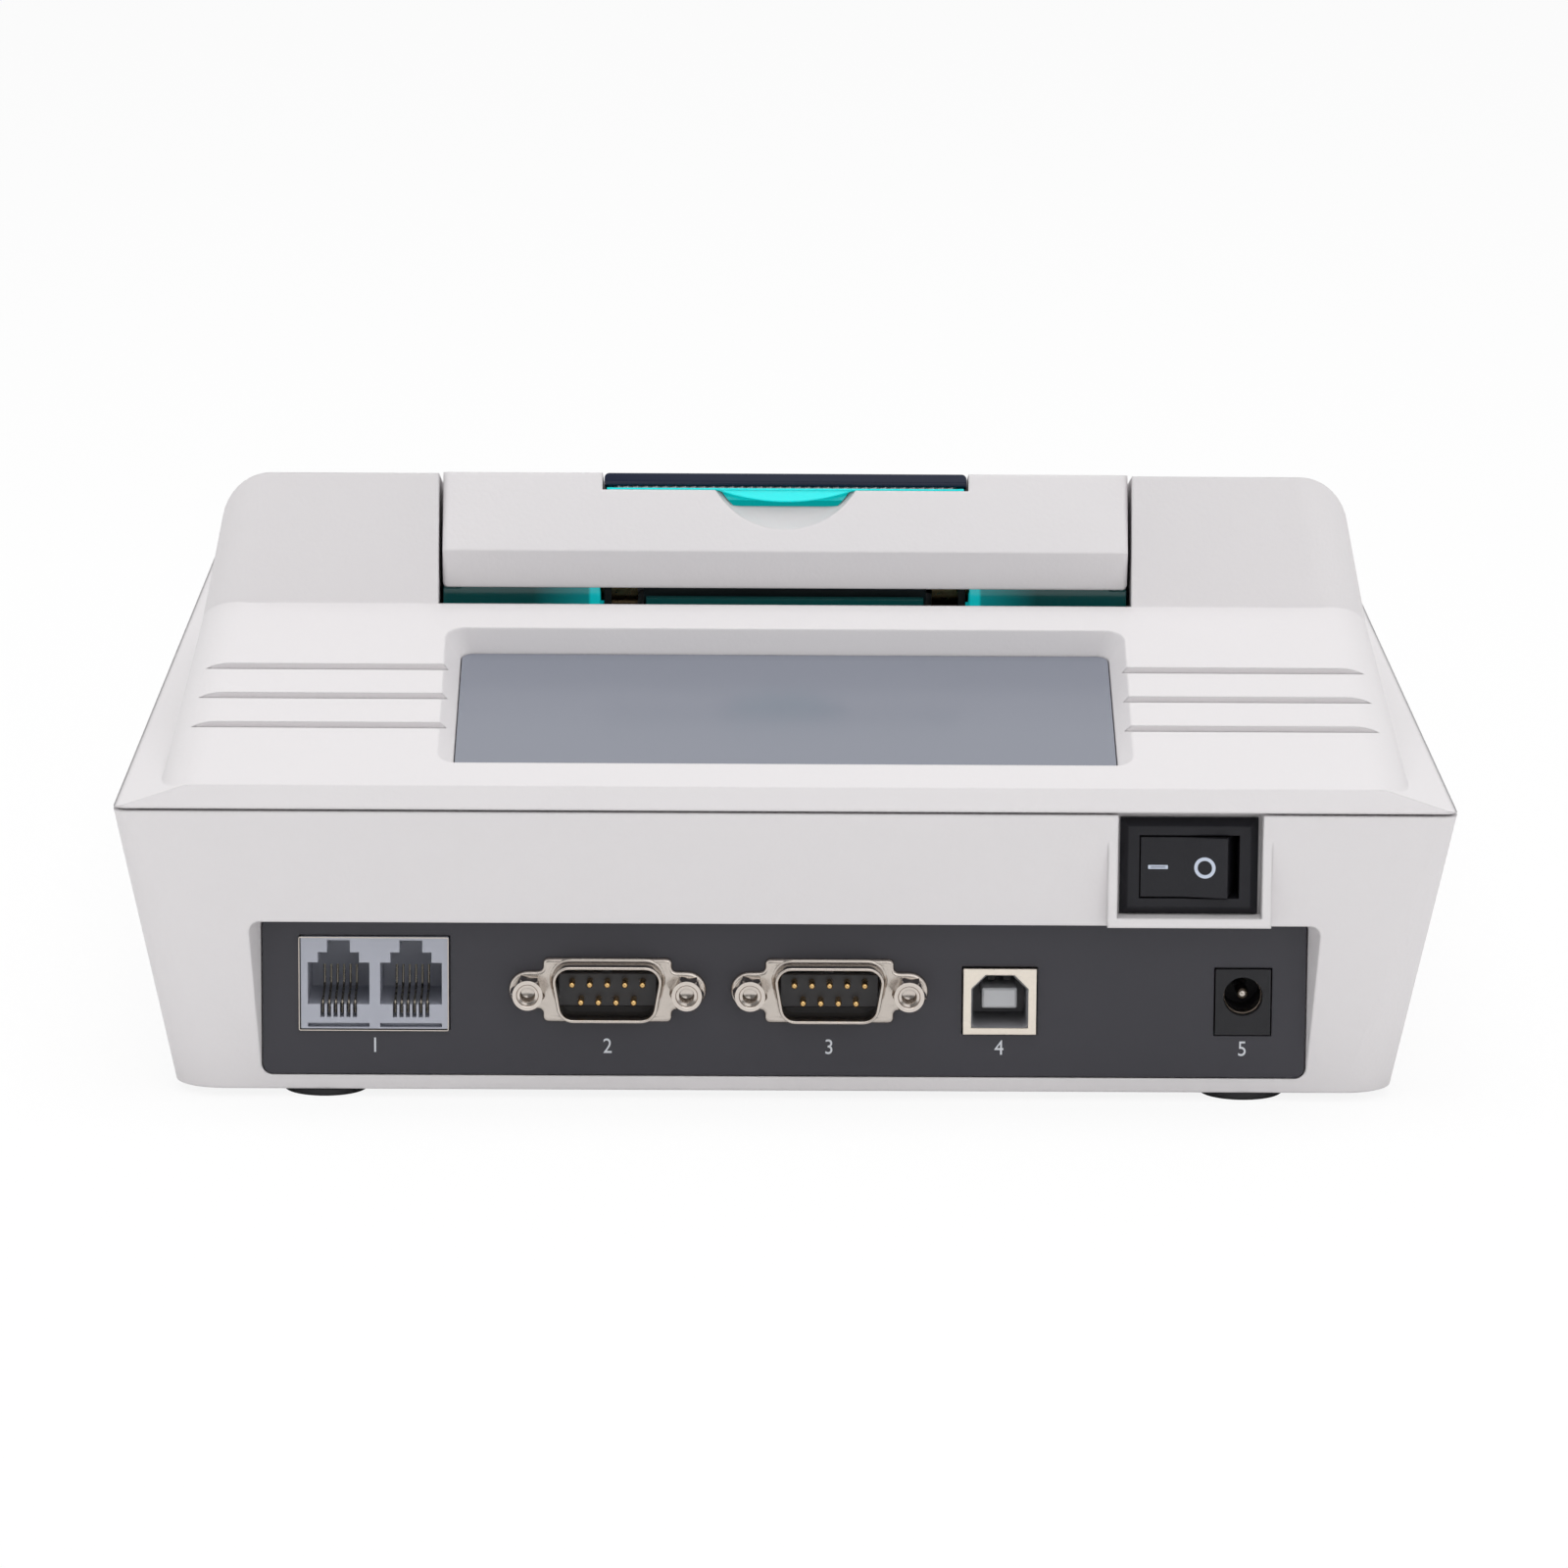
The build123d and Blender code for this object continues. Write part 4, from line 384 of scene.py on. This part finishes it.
# ============================================================ serial sockets
# Two nine-pin sockets. Each has a pressed, nickel-plated shell whose flange is drawn with
# a rolled edge, a black core with a raised middle, nine gilt pins, and two hexagonal
# jackscrews that clamp the flange to the plate.
serial_x = (0.02785, -0.0071)
serial_z = 0.01775
screw_reach = 0.012495
d_corners = [(-0.007504, -0.004525), (0.007504, -0.004525), (0.0091, 0.004525), (-0.0091, 0.004525)]
ear_x, ear_z = 0.015595, 0.0031
flange_corners = [
    (-0.0102, -0.0052), (0.0102, -0.0052), (0.0102, -ear_z), (ear_x, -ear_z), (ear_x, ear_z), (
        0.0102, ear_z
    ),
    (0.0102, 0.0052), (-0.0102, 0.0052), (-0.0102, ear_z), (-ear_x, ear_z), (-ear_x, -ear_z), (
        -0.0102, -ear_z
    ),
]
flange_radii = [0.0009, 0.0009, 0.0007, 0.00305, 0.00305, 0.0007] * 2
quarter = np.linspace(0, pi / 2, 6)


def d_loop(inset):
    """The wide-side-up outline of the shell, pulled in by inset."""
    return spread(outline(d_corners, 0.0026, inset))


def flange_loop(inset):
    """The flange's outline with its two ears, pulled in by inset."""
    return spread(outline(flange_corners, flange_radii, inset))


# from the flange's back round its rolled edge, up the shell, over its lip and down inside
roll, root, sheet = 0.0007, 0.0006, 0.0005
shell_levels = [(flange_loop(0), 0.0), (flange_loop(0), 0.0002)]
shell_levels += [(flange_loop(roll * (1 - cos(a))), 0.0002 + roll * sin(a)) for a in quarter[1:]]
shell_levels += [(flange_loop(0.0011), 0.00084)]
shell_levels += [(d_loop(-root * (1 - sin(a))), 0.00084 + root * (1 - cos(a))) for a in quarter]
shell_levels += [
    (d_loop(sheet / 2 - sheet / 2 * cos(a)), 0.00415 + sheet / 2 * sin(a)) for a in np.linspace(
        0, pi, 9
    )
]
shell_levels += [
    (d_loop(sheet), -0.0025), (d_loop(0), -0.0025), (d_loop(0), 0.0), (flange_loop(0), 0.0)
]
shell_levels = [(loop, plate_face_y + y) for loop, y in shell_levels]
shell_grids = [(stacked(shell_levels, x, serial_z), 0) for x in serial_x]
serial_shell_pair = skin("serial_shell_pair", shell_grids, [nickel], "case")
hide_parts("serial_shells")

core_black = moulded("core_black", (0.012, 0.012, 0.014), 0.35, 0.0005, 0.00002, 0.0002, 0.1)
core_grey = moulded("core_grey", (0.028, 0.028, 0.032), 0.4, 0.0005, 0.00002, 0.0, 0.1)
middle_box = box_corners(0.0078, 0.00272)
point = np.zeros((360, 2))
core_levels = [
    (point, 0.0002), (spread(outline(middle_box, 0.0003, 0.0002)), 0.0002), (
        spread(outline(middle_box, 0.0003)), 0.0
    ),
    (spread(outline(middle_box, 0.0003)), -0.0018), (d_loop(sheet), -0.0018), (d_loop(sheet), -0.0025), (
        point, -0.0025
    ),
]
low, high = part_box("serial_cores")
rear_box = box_corners(0.0154, 0.00657)
body_levels = [
    (point, -0.0027), (spread(outline(rear_box, 0.0004, 0.0003)), -0.0027),
    (spread(outline(rear_box, 0.0004)), -0.003), (spread(outline(rear_box, 0.0004)), -0.0141),
    (point, -0.0141),
]
core_grids = []
for x in serial_x:
    core_grids.append((stacked([(loop, plate_face_y + y) for loop, y in core_levels], x, serial_z), 1))
    core_grids.append(
        (stacked([(loop, plate_face_y + y) for loop, y in body_levels], x, low.z + 0.00657), 0)
    )
    # rib that keys the raised middle to the shell
    rib = outline(box_corners(0.00062, 0.0007), 0.0001, 0, 3)
    rib_levels = [
        (np.zeros_like(rib), -0.0005), (rib, -0.0005), (rib, -0.002), (np.zeros_like(rib), -0.002)
    ]
    core_grids.append(
        (stacked([(loop, plate_face_y + y) for loop, y in rib_levels], x, serial_z + 0.0033), 1)
    )
serial_core_pair = skin("serial_core_pair", core_grids, [core_black, core_grey], "case")
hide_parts("serial_cores")

pin_gold = metal("pin_gold", (0.66, 0.44, 0.19), 0.25, wear=0.15)
pin_radius, pin_long = 0.0005, 0.0035
pin_profile = [(0, 0.0), (pin_radius, 0.0), (pin_radius, pin_long - pin_radius)]
pin_profile += [(pin_radius * cos(a), pin_long - pin_radius * (1 - sin(a))) for a in quarter[1:-1]] + [
    (0, pin_long)
]
pin_grids = [
    (
        turned(
            pin_profile,
            (x + (place - (count - 1) / 2) * 0.00277, plate_face_y + 0.0002, serial_z + rise),
            (0, 1, 0), 20
        ),
        0
    )
    for x in serial_x
    for count, rise in ((5, 0.00142), (4, -0.00142))
    for place in range(count)
]
serial_pin_set = skin("serial_pin_set", pin_grids, [pin_gold], "case")
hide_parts("serial_pins")


def hexagon(radius, height, angle):
    """Pulls rows wider than the bore in to six flats: the radius is the flat's distance over the
    cosine of the angle from the flat's middle, and never more than the row's own.
    """
    flat = 0.00238 / np.cos((angle + pi / 6) % (pi / 3) - pi / 6)
    return np.where(radius > 0.0018, np.minimum(radius, flat), radius), height


thread_angle = np.linspace(0, 1, 60)
bore = np.stack(
    (0.00122 + 0.0001 * np.sin(thread_angle * 0.003 / 0.00064 * 2 * pi), 0.0036 - 0.003 * thread_angle),
    1
)
screw_levels = np.concatenate((
    [
        [0.0013, -0.0005], [0.00285, 0.0], [0.00285, 0.0036], [0.00238, 0.0040], [0.0018, 0.0040],
        [0.00172, 0.00393], [0.00162, 0.0037]
    ],
    bore,
    [[0.0011, 0.0004], [0.0, 0.0001]],
))
screw_levels = np.concatenate(([[0.0, -0.0005]], screw_levels))
jackscrew_nickel = metal("jackscrew_nickel", (0.60, 0.545, 0.50), 0.16, 0.0, (1, 0.2, 1), 0.1, 2200.0)
jackscrew_grids = [
    (
        turned(
            screw_levels, (x + hand * screw_reach, plate_face_y + 0.0009, serial_z), (0, 1, 0), 72,
            hexagon
        ),
        0
    )
    for x in serial_x
    for hand in (-1, 1)
]
jackscrew_set = skin("jackscrew_set", jackscrew_grids, [jackscrew_nickel], "case")
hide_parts("jackscrews")

# ============================================================ square data socket
# A folded, nickel-plated box whose front has a mouth with two cut corners. Inside is a dark lining,
# painted a lighter grey than its own to make up for the shade in the mouth, and a pale tongue that
# carries the contacts. Two near-black blocks under the roof above it are painted shade for two slots.
shell_cream = metal("shell_cream", (0.80, 0.73, 0.64), 0.3, 0.0003, wear=0.06, scale=2200.0)
dress(shell_cream, "usb_shell")
# painted light: the lining's grey is lifted above its own dark tone to make up for the shade in the mouth
lining_grey_painted_light = moulded("lining_grey_painted_light", (0.22, 0.22, 0.235), 0.4, 0.0005, 0.00002, 0.0002)
tongue_pale = moulded("tongue_pale", (0.50, 0.51, 0.53), 0.4, 0.0005, 0.00002, 0.0002)
# painted shade: near-black for the dark inside the roof's two slots
slot_painted_shade = moulded("slot_painted_shade", (0.004, 0.004, 0.004), 0.6)
low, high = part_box("usb_core")
core_x, core_z = (low.x + high.x) / 2, (low.z + high.z) / 2
core_half_x, core_half_z = (high.x - low.x) / 2, (high.z - low.z) / 2
mouth_x, mouth_z, cut = 0.00425, 0.00405, 0.0022
mouth_corners = [
    (-mouth_x, -mouth_z), (mouth_x, -mouth_z), (mouth_x, mouth_z - cut), (mouth_x - cut, mouth_z),
    (cut - mouth_x, mouth_z), (-mouth_x, mouth_z - cut)
]
mouth_radii = [0.0008, 0.0008, 0.0002, 0.0002, 0.0002, 0.0002]
core_outer = spread(outline(box_corners(core_half_x, core_half_z), 0.0003))
mouth = spread(outline(mouth_corners, mouth_radii))
mouth_wide = spread(outline(mouth_corners, mouth_radii, -0.00022))
lining_levels = [
    (point, low.y), (core_outer, low.y), (core_outer, high.y), (mouth_wide, high.y), (
        mouth, high.y - 0.0004
    ),
    (mouth, high.y - 0.0105), (point, high.y - 0.0105),
]
tongue_box = box_corners(0.00275, 0.0016)
tongue_levels = [
    (point, high.y - 0.0104), (spread(outline(tongue_box, 0.0003)), high.y - 0.0104), (
        spread(outline(tongue_box, 0.0003)), high.y - 0.0019
    ),
    (spread(outline(tongue_box, 0.0003, 0.0003)), high.y - 0.0016), (point, high.y - 0.0016),
]
data_grids = [
    (stacked(lining_levels, core_x, core_z), 0),
    (stacked(tongue_levels, core_x, core_z + 0.0001), 1)
]
# two near-black blocks under the roof are painted shade standing in for its two slots
for x in (-0.00125, 0.00125):
    slot_loop = outline(box_corners(0.00055, 0.00045), 0.0001, 0, 3)
    none = np.zeros_like(slot_loop)
    slot_levels = [
        (none, high.y - 0.0035), (slot_loop, high.y - 0.0035), (slot_loop, high.y - 0.0104),
        (none, high.y - 0.0104)
    ]
    data_grids.append((stacked(slot_levels, core_x + x, core_z + 0.0031), 2))
data_core = skin("data_core", data_grids, [lining_grey_painted_light, tongue_pale, slot_painted_shade], "case")
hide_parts("usb_core")

# ============================================================ power socket
# A black block with a round bore and a plated pin in its middle. A turned contact ring
# lies inside the bore and shows as a bright crescent.
jack_black = moulded("jack_black", (0.026, 0.026, 0.029), 0.42, 0.0005, 0.00002, 0.0002, 0.08)
dress(jack_black, "power_jack")
low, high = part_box("power_jack_pin")
bore_x, bore_z, bore_face = (low.x + high.x) / 2, (low.z + high.z) / 2, high.y + 0.0018
pin_r = 0.00095
power_pin_profile = [
    (0, -0.0125), (pin_r, -0.0125), (pin_r, -0.0026), (pin_r * 0.8, -0.0021),
    (pin_r * 0.45, -0.0018), (0, -0.0017)
]
ring_profile = [
    (0.00308, -0.0045), (0.00308, -0.0016), (0.0030, -0.0013), (0.00285, -0.0015),
    (0.00285, -0.0045), (0.00308, -0.0045)
]
power_grids = [
    (turned(power_pin_profile, (bore_x, bore_face, bore_z), (0, 1, 0), 40), 0),
    (turned(ring_profile, (bore_x, bore_face, bore_z), (0, 1, 0), 64), 0),
]
power_contacts = skin("power_contacts", power_grids, [nickel], "case")
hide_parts("power_jack_pin")

# ============================================================ power switch
# A black rocker in a black snap-in body, set in a raised boss of the base. Its two marks
# are printed on the rocker's halves, the ring on the half that stands up.
switch_black = moulded("switch_black", (0.02, 0.02, 0.024), 0.38, 0.0005, 0.00003, 0.0004, 0.08)
dress(switch_black, "switch_body")
rocker_black = moulded("rocker_black", (0.021, 0.021, 0.025), 0.42, 0.0005, 0.00004, 0.0003, 0.08)
dress(rocker_black, "switch_rocker")
for black in (switch_black, rocker_black, jack_black):
    black.node_tree.nodes["Principled BSDF"].inputs["Specular IOR Level"].default_value = 0.2
switch_ink = moulded("switch_ink", (0.58, 0.64, 0.76), 0.5, mottle=0.01)
switch_z = 0.03915
crease_x, level_y, lean = -0.06236, 0.125627, radians(11)


def face_mark(name, outer, inner, x, across, normal, material, body):
    """A thin printed mark: an outer loop, and an inner one where the mark is a ring, laid on a
    face at x with the face's own axes.
    """
    place = np.array((x, level_y + max(crease_x - x, 0) * np.tan(lean), switch_z))
    wide, out, rise = np.asarray(across), np.asarray(normal), np.array((0, 0, 1.0))
    levels = [
        (outer, -0.00002), (outer, ink_thick), (inner, ink_thick), (inner, -0.00002),
        (outer, -0.00002)
    ]
    grid = np.stack(
        [place + loop[:, :1] * wide + loop[:, 1:] * rise + height * out for loop, height in levels]
    )
    piece = skin(name, [(grid, 0)], [material], body)
    return piece


ring_angle = np.arange(64) / 64 * 2 * pi
circle = np.stack((np.cos(ring_angle), np.sin(ring_angle)), 1)
bar = outline(box_corners(0.00155, 0.00031), 0.00008, 0, 3)
face_mark("mark_on", bar, bar * (0.5, 0.0), -0.05825, (-1.0, 0, 0), (0, 1.0, 0), switch_ink, "rocker")
face_mark(
    "mark_off", circle * 0.00168, circle * 0.00114, -0.06555, (-cos(lean), sin(lean), 0),
    (sin(lean), cos(lean), 0), switch_ink, "rocker"
)

# ============================================================ displays
# Both displays sit behind a smoked pane with a satin blue-grey back print. The pane is
# glued into a seat in the cover, and the display board is screwed up against the frame.
pane_smoke = moulded("pane_smoke", (0.207, 0.222, 0.268), 0.16, mottle=0.01)
dress(pane_smoke, "customer_window", "operator_window")
display_dark = moulded("display_dark", (0.03, 0.04, 0.045), 0.25)
dress(display_dark, "customer_display", "operator_display")

# ============================================================ printer bay and paper lid
# The bay and the lid are moulded in a clear teal plastic. Its glow is painted light, an emission
# that only the camera sees, and its walls carry painted lit and shaded tones. The lid carries a
# polished dark blue cap and a steel tear bar.


def teal_with_painted_light(name, shaded_colour, lit_colour, glow, edge=0.0003):
    """See-through dyed plastic: light passes by transmission. Its colour is painted light and shade:
    it goes from the first colour, a painted shade, to the second, a painted highlight, where a wall
    stands edge-on to the rear, which is 30.0 to 31.5 mm from the middle, and fades outwards over
    9 mm. The same colour is a painted glow, an emission of strength glow that only the eye sees.
    """
    material = bpy.data.materials.new(name)
    material.use_nodes = True
    tree = material.node_tree
    shader = tree.nodes["Principled BSDF"]
    place = tree.nodes.new("ShaderNodeTexCoord")
    part = tree.nodes.new("ShaderNodeSeparateXYZ")
    tree.links.new(place.outputs["Object"], part.inputs["Vector"])
    last = part.outputs["X"]
    for operation, value in (("ABSOLUTE", 0.0), ("SUBTRACT", 0.0288), ("MULTIPLY", 83.0)):
        step = tree.nodes.new("ShaderNodeMath")
        step.operation = operation
        step.inputs[1].default_value = value
        tree.links.new(last, step.inputs[0])
        last = step.outputs[0]
    # painted light: a brighter band where the walls stand edge-on to the rear, darker tones round it
    painted_light_band = tree.nodes.new("ShaderNodeValToRGB")
    tree.links.new(last, painted_light_band.inputs["Fac"])
    stops = painted_light_band.color_ramp.elements
    stops[0].position, stops[0].color = 0.06, (0, 0, 0, 1)
    stops[1].position, stops[1].color = 1.0, (0, 0, 0, 1)
    for place_on, value in ((0.10, 1.0), (0.22, 1.0), (0.26, 0.35)):
        stops.new(place_on).color = (value, value, value, 1)
    tint = tree.nodes.new("ShaderNodeMix")
    tint.data_type = "RGBA"
    tint.inputs["A"].default_value = (*shaded_colour, 1)
    tint.inputs["B"].default_value = (*lit_colour, 1)
    tree.links.new(painted_light_band.outputs["Color"], tint.inputs["Factor"])
    tree.links.new(tint.outputs["Result"], shader.inputs["Base Color"])
    tree.links.new(tint.outputs["Result"], shader.inputs["Emission Color"])
    # painted glow: an emission in the painted colour that only the camera sees
    sight = tree.nodes.new("ShaderNodeLightPath")
    strength = tree.nodes.new("ShaderNodeMath")
    strength.operation = "MULTIPLY"
    strength.inputs[1].default_value = glow
    tree.links.new(sight.outputs["Is Camera Ray"], strength.inputs[0])
    tree.links.new(strength.outputs[0], shader.inputs["Emission Strength"])
    shader.inputs["Roughness"].default_value = 0.12
    shader.inputs["Transmission Weight"].default_value = 0.25
    rounding = tree.nodes.new("ShaderNodeBevel")
    rounding.samples = 4
    rounding.inputs["Radius"].default_value = edge
    tree.links.new(rounding.outputs["Normal"], shader.inputs["Normal"])
    return material


# painted light: dark shaded walls, a bright painted band by the edge-on walls, and a glow only the camera
# sees
bay_teal_painted_light = teal_with_painted_light("bay_teal_painted_light", (0.003, 0.06, 0.06), (0.004, 0.66, 0.70), 0.32)
lid_teal_painted_light = teal_with_painted_light("lid_teal_painted_light", (0.004, 0.74, 0.74), (0.006, 0.86, 0.86), 0.4)
dress(bay_teal_painted_light, "printer_bay")
dress(lid_teal_painted_light, "paper_lid")
cap_navy = moulded("cap_navy", (0.009, 0.015, 0.038), 0.1, edge=0.0003, mottle=0.05)
cap_navy.node_tree.nodes["Principled BSDF"].inputs["Specular IOR Level"].default_value = 0.35
dress(cap_navy, "lid_cap")
bar_steel = metal("bar_steel", (0.6, 0.6, 0.61), 0.3, 0.0001, (1, 12, 12))
dress(bar_steel, "tear_bar", "lid_hinge_pins", "head_springs", "platen_shaft", "feed_motor")
frame_black = moulded("frame_black", (0.012, 0.02, 0.021), 0.45, 0.0006, 0.00002, 0.0002, 0.08)
dress(frame_black, "printer_frame")

# ============================================================ ticket printer
# Behind the slot: a black rubber roller on a steel shaft, the heated head pressed to it by
# leaf springs, and the feed motor's gears outside the frame.
roller_rubber = moulded("roller_rubber", (0.03, 0.045, 0.05), 0.45, 0.0005, 0.00003, mottle=0.1)
dress(roller_rubber, "platen_roller")
head_metal = metal("head_metal", (0.62, 0.62, 0.63), 0.38, 0.0002, (1, 8, 8))
dress(head_metal, "print_head")
bearing_brass = metal("bearing_brass", (0.66, 0.47, 0.26), 0.3)
dress(bearing_brass, "platen_bushings", "motor_pinion")
gear_nylon = moulded("gear_nylon", (0.68, 0.66, 0.6), 0.45, 0.0006, 0.00002, 0.0001)
dress(gear_nylon, "platen_gear", "idler_gear")

# ============================================================ keypad
# Twenty moulded keys stand through the cover over a rubber mat. Each has a printed mark:
# digits, arithmetic signs, and plain symbols for the till's own functions.
mat_rubber = moulded("mat_rubber", (0.2, 0.2, 0.21), 0.7, 0.0008, 0.00004)
dress(mat_rubber, "keypad_membrane")
key_light = moulded("key_light", (0.62, 0.61, 0.60), 0.5, 0.0006, 0.00004, 0.0003, 0.02)
key_grey = moulded("key_grey", (0.11, 0.12, 0.14), 0.5, 0.0006, 0.00004, 0.0003, 0.04)
key_ink_dark = moulded("key_ink_dark", (0.02, 0.02, 0.03), 0.5)
key_ink_light = moulded("key_ink_light", (0.75, 0.75, 0.75), 0.5)
key_signs = {
    "key_clear": "C", "key_menu": "≡", "key_plus": "+", "key_minus": "−", "key_times": "×",
    "key_divide": "÷", "key_feed": "↑", "key_percent": "%", "key_sum": "=", "key_point": ".",
}
keypad_lean = radians(7)
for name in sorted(n for n in nodes if n.startswith("key_")):
    digit = name[4:].isdigit()
    light = digit or name == "key_point"
    dress(key_light if light else key_grey, name)
    low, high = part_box(name)
    sign = name[4:] if digit else key_signs[name]
    middle = (low + high) / 2
    rise = Vector((0, cos(keypad_lean), sin(keypad_lean)))
    normal = Vector((0, -sin(keypad_lean), cos(keypad_lean)))
    # the top face's middle: the body's middle moved up the normal to the highest vertex
    spots = np.empty(len(nodes[name].data.vertices) * 3)
    nodes[name].data.vertices.foreach_get("co", spots)
    top = middle + normal * ((spots.reshape(-1, 3) @ np.array(normal)).max() - middle.dot(normal))
    mark = printed(
        name + "_mark", sign, 0.0075, top, (1, 0, 0), rise,
        key_ink_dark if light else key_ink_light, name
    )

# ============================================================ floor, light and camera
# A white floor that keeps the part's soft shadow, an even white surround, one wide lamp
# overhead and one weaker lamp in front of the rear wall.
floor_mesh = bpy.data.meshes.new("floor")
reach = 6.0
floor_mesh.from_pydata(
    [(-reach, -reach, 0), (reach, -reach, 0), (reach, reach, 0), (-reach, reach, 0)], [], [(0, 1, 2, 3)]
)
floor = bpy.data.objects.new("floor", floor_mesh)
bpy.context.scene.collection.objects.link(floor)
floor_paint = bpy.data.materials.new("floor_paint")
floor_paint.use_nodes = True
paint = floor_paint.node_tree
paint.nodes["Principled BSDF"].inputs["Base Color"].default_value = (0.97, 0.97, 0.97, 1)
paint.nodes["Principled BSDF"].inputs["Roughness"].default_value = 0.9
paint.nodes["Principled BSDF"].inputs["Specular IOR Level"].default_value = 0.0
sight = paint.nodes.new("ShaderNodeLightPath")
glow = paint.nodes.new("ShaderNodeEmission")
share = paint.nodes.new("ShaderNodeMath")
share.operation = "MULTIPLY"
share.inputs[1].default_value = 0.88
blend = paint.nodes.new("ShaderNodeMixShader")
paint.links.new(sight.outputs["Is Camera Ray"], share.inputs[0])
paint.links.new(share.outputs[0], blend.inputs[0])
paint.links.new(paint.nodes["Principled BSDF"].outputs[0], blend.inputs[1])
paint.links.new(glow.outputs[0], blend.inputs[2])
paint.links.new(blend.outputs[0], paint.nodes["Material Output"].inputs[0])
floor_mesh.materials.append(floor_paint)

world = bpy.data.worlds.new("surround")
bpy.context.scene.world = world
world.use_nodes = True
sky = world.node_tree
surround = sky.nodes["Background"]
surround.inputs["Color"].default_value = (1, 1, 1, 1)
seen = sky.nodes.new("ShaderNodeLightPath")
direct = sky.nodes.new("ShaderNodeMath")
direct.operation = "MAXIMUM"
through = sky.nodes.new("ShaderNodeMath")
through.operation = "MAXIMUM"
level = sky.nodes.new("ShaderNodeMapRange")
level.inputs["To Min"].default_value = 0.635
level.inputs["To Max"].default_value = 1.05
sky.links.new(seen.outputs["Is Camera Ray"], direct.inputs[0])
sky.links.new(seen.outputs["Is Glossy Ray"], direct.inputs[1])
sky.links.new(direct.outputs[0], through.inputs[0])
sky.links.new(seen.outputs["Is Transmission Ray"], through.inputs[1])
sky.links.new(through.outputs[0], level.inputs["Value"])
# the side behind the camera is dark to mirror-like faces, as a studio's own side is
way = sky.nodes.new("ShaderNodeTexCoord")
parts = sky.nodes.new("ShaderNodeSeparateXYZ")
dark = sky.nodes.new("ShaderNodeMapRange")
dark.inputs["From Min"].default_value = 0.72
dark.inputs["From Max"].default_value = 0.94
dark.inputs["To Min"].default_value = 0.0
dark.inputs["To Max"].default_value = 0.8
shade = sky.nodes.new("ShaderNodeMath")
shade.operation = "MULTIPLY"
rest = sky.nodes.new("ShaderNodeMath")
rest.operation = "SUBTRACT"
rest.inputs[0].default_value = 1.0
final = sky.nodes.new("ShaderNodeMath")
final.operation = "MULTIPLY"
sky.links.new(way.outputs["Generated"], parts.inputs["Vector"])
sky.links.new(parts.outputs["Y"], dark.inputs["Value"])
sky.links.new(dark.outputs["Result"], shade.inputs[0])
sky.links.new(seen.outputs["Is Glossy Ray"], shade.inputs[1])
sky.links.new(shade.outputs[0], rest.inputs[1])
sky.links.new(level.outputs["Result"], final.inputs[0])
sky.links.new(rest.outputs[0], final.inputs[1])
sky.links.new(final.outputs[0], surround.inputs["Strength"])


def lamp(name, place, target, size, power):
    """A square softbox at place that faces target."""
    light = bpy.data.lights.new(name, "AREA")
    light.size = size
    light.energy = power
    holder = bpy.data.objects.new(name, light)
    holder.location = place
    holder.rotation_euler = (Vector(target) - Vector(place)).to_track_quat("-Z", "Y").to_euler()
    bpy.context.scene.collection.objects.link(holder)


lamp("overhead", (0.0, 0.25, 1.5), (0, 0.05, 0.05), 1.4, 11.0)
lamp("front", (-0.5, 1.8, 0.9), (0, 0.1, 0.05), 1.2, 4.0)

camera_data = bpy.data.cameras.new("camera")
camera_data.lens = 177.2
camera_data.sensor_width = 36
camera = bpy.data.objects.new("camera", camera_data)
bpy.context.scene.collection.objects.link(camera)
bpy.context.scene.camera = camera
target = Vector((0.0003, 0.129, 0.05275))
swing, rise_angle, roll = radians(0.34), radians(11.2), radians(0.34)
away = Vector((sin(swing) * cos(rise_angle), cos(swing) * cos(rise_angle), sin(rise_angle)))
camera.location = target + away * 1.2
camera.rotation_euler = (away.to_track_quat("Z", "Y").to_matrix() @ Matrix.Rotation(roll, 3, "Z")).to_euler(

)

bpy.context.scene.view_settings.view_transform = "Standard"
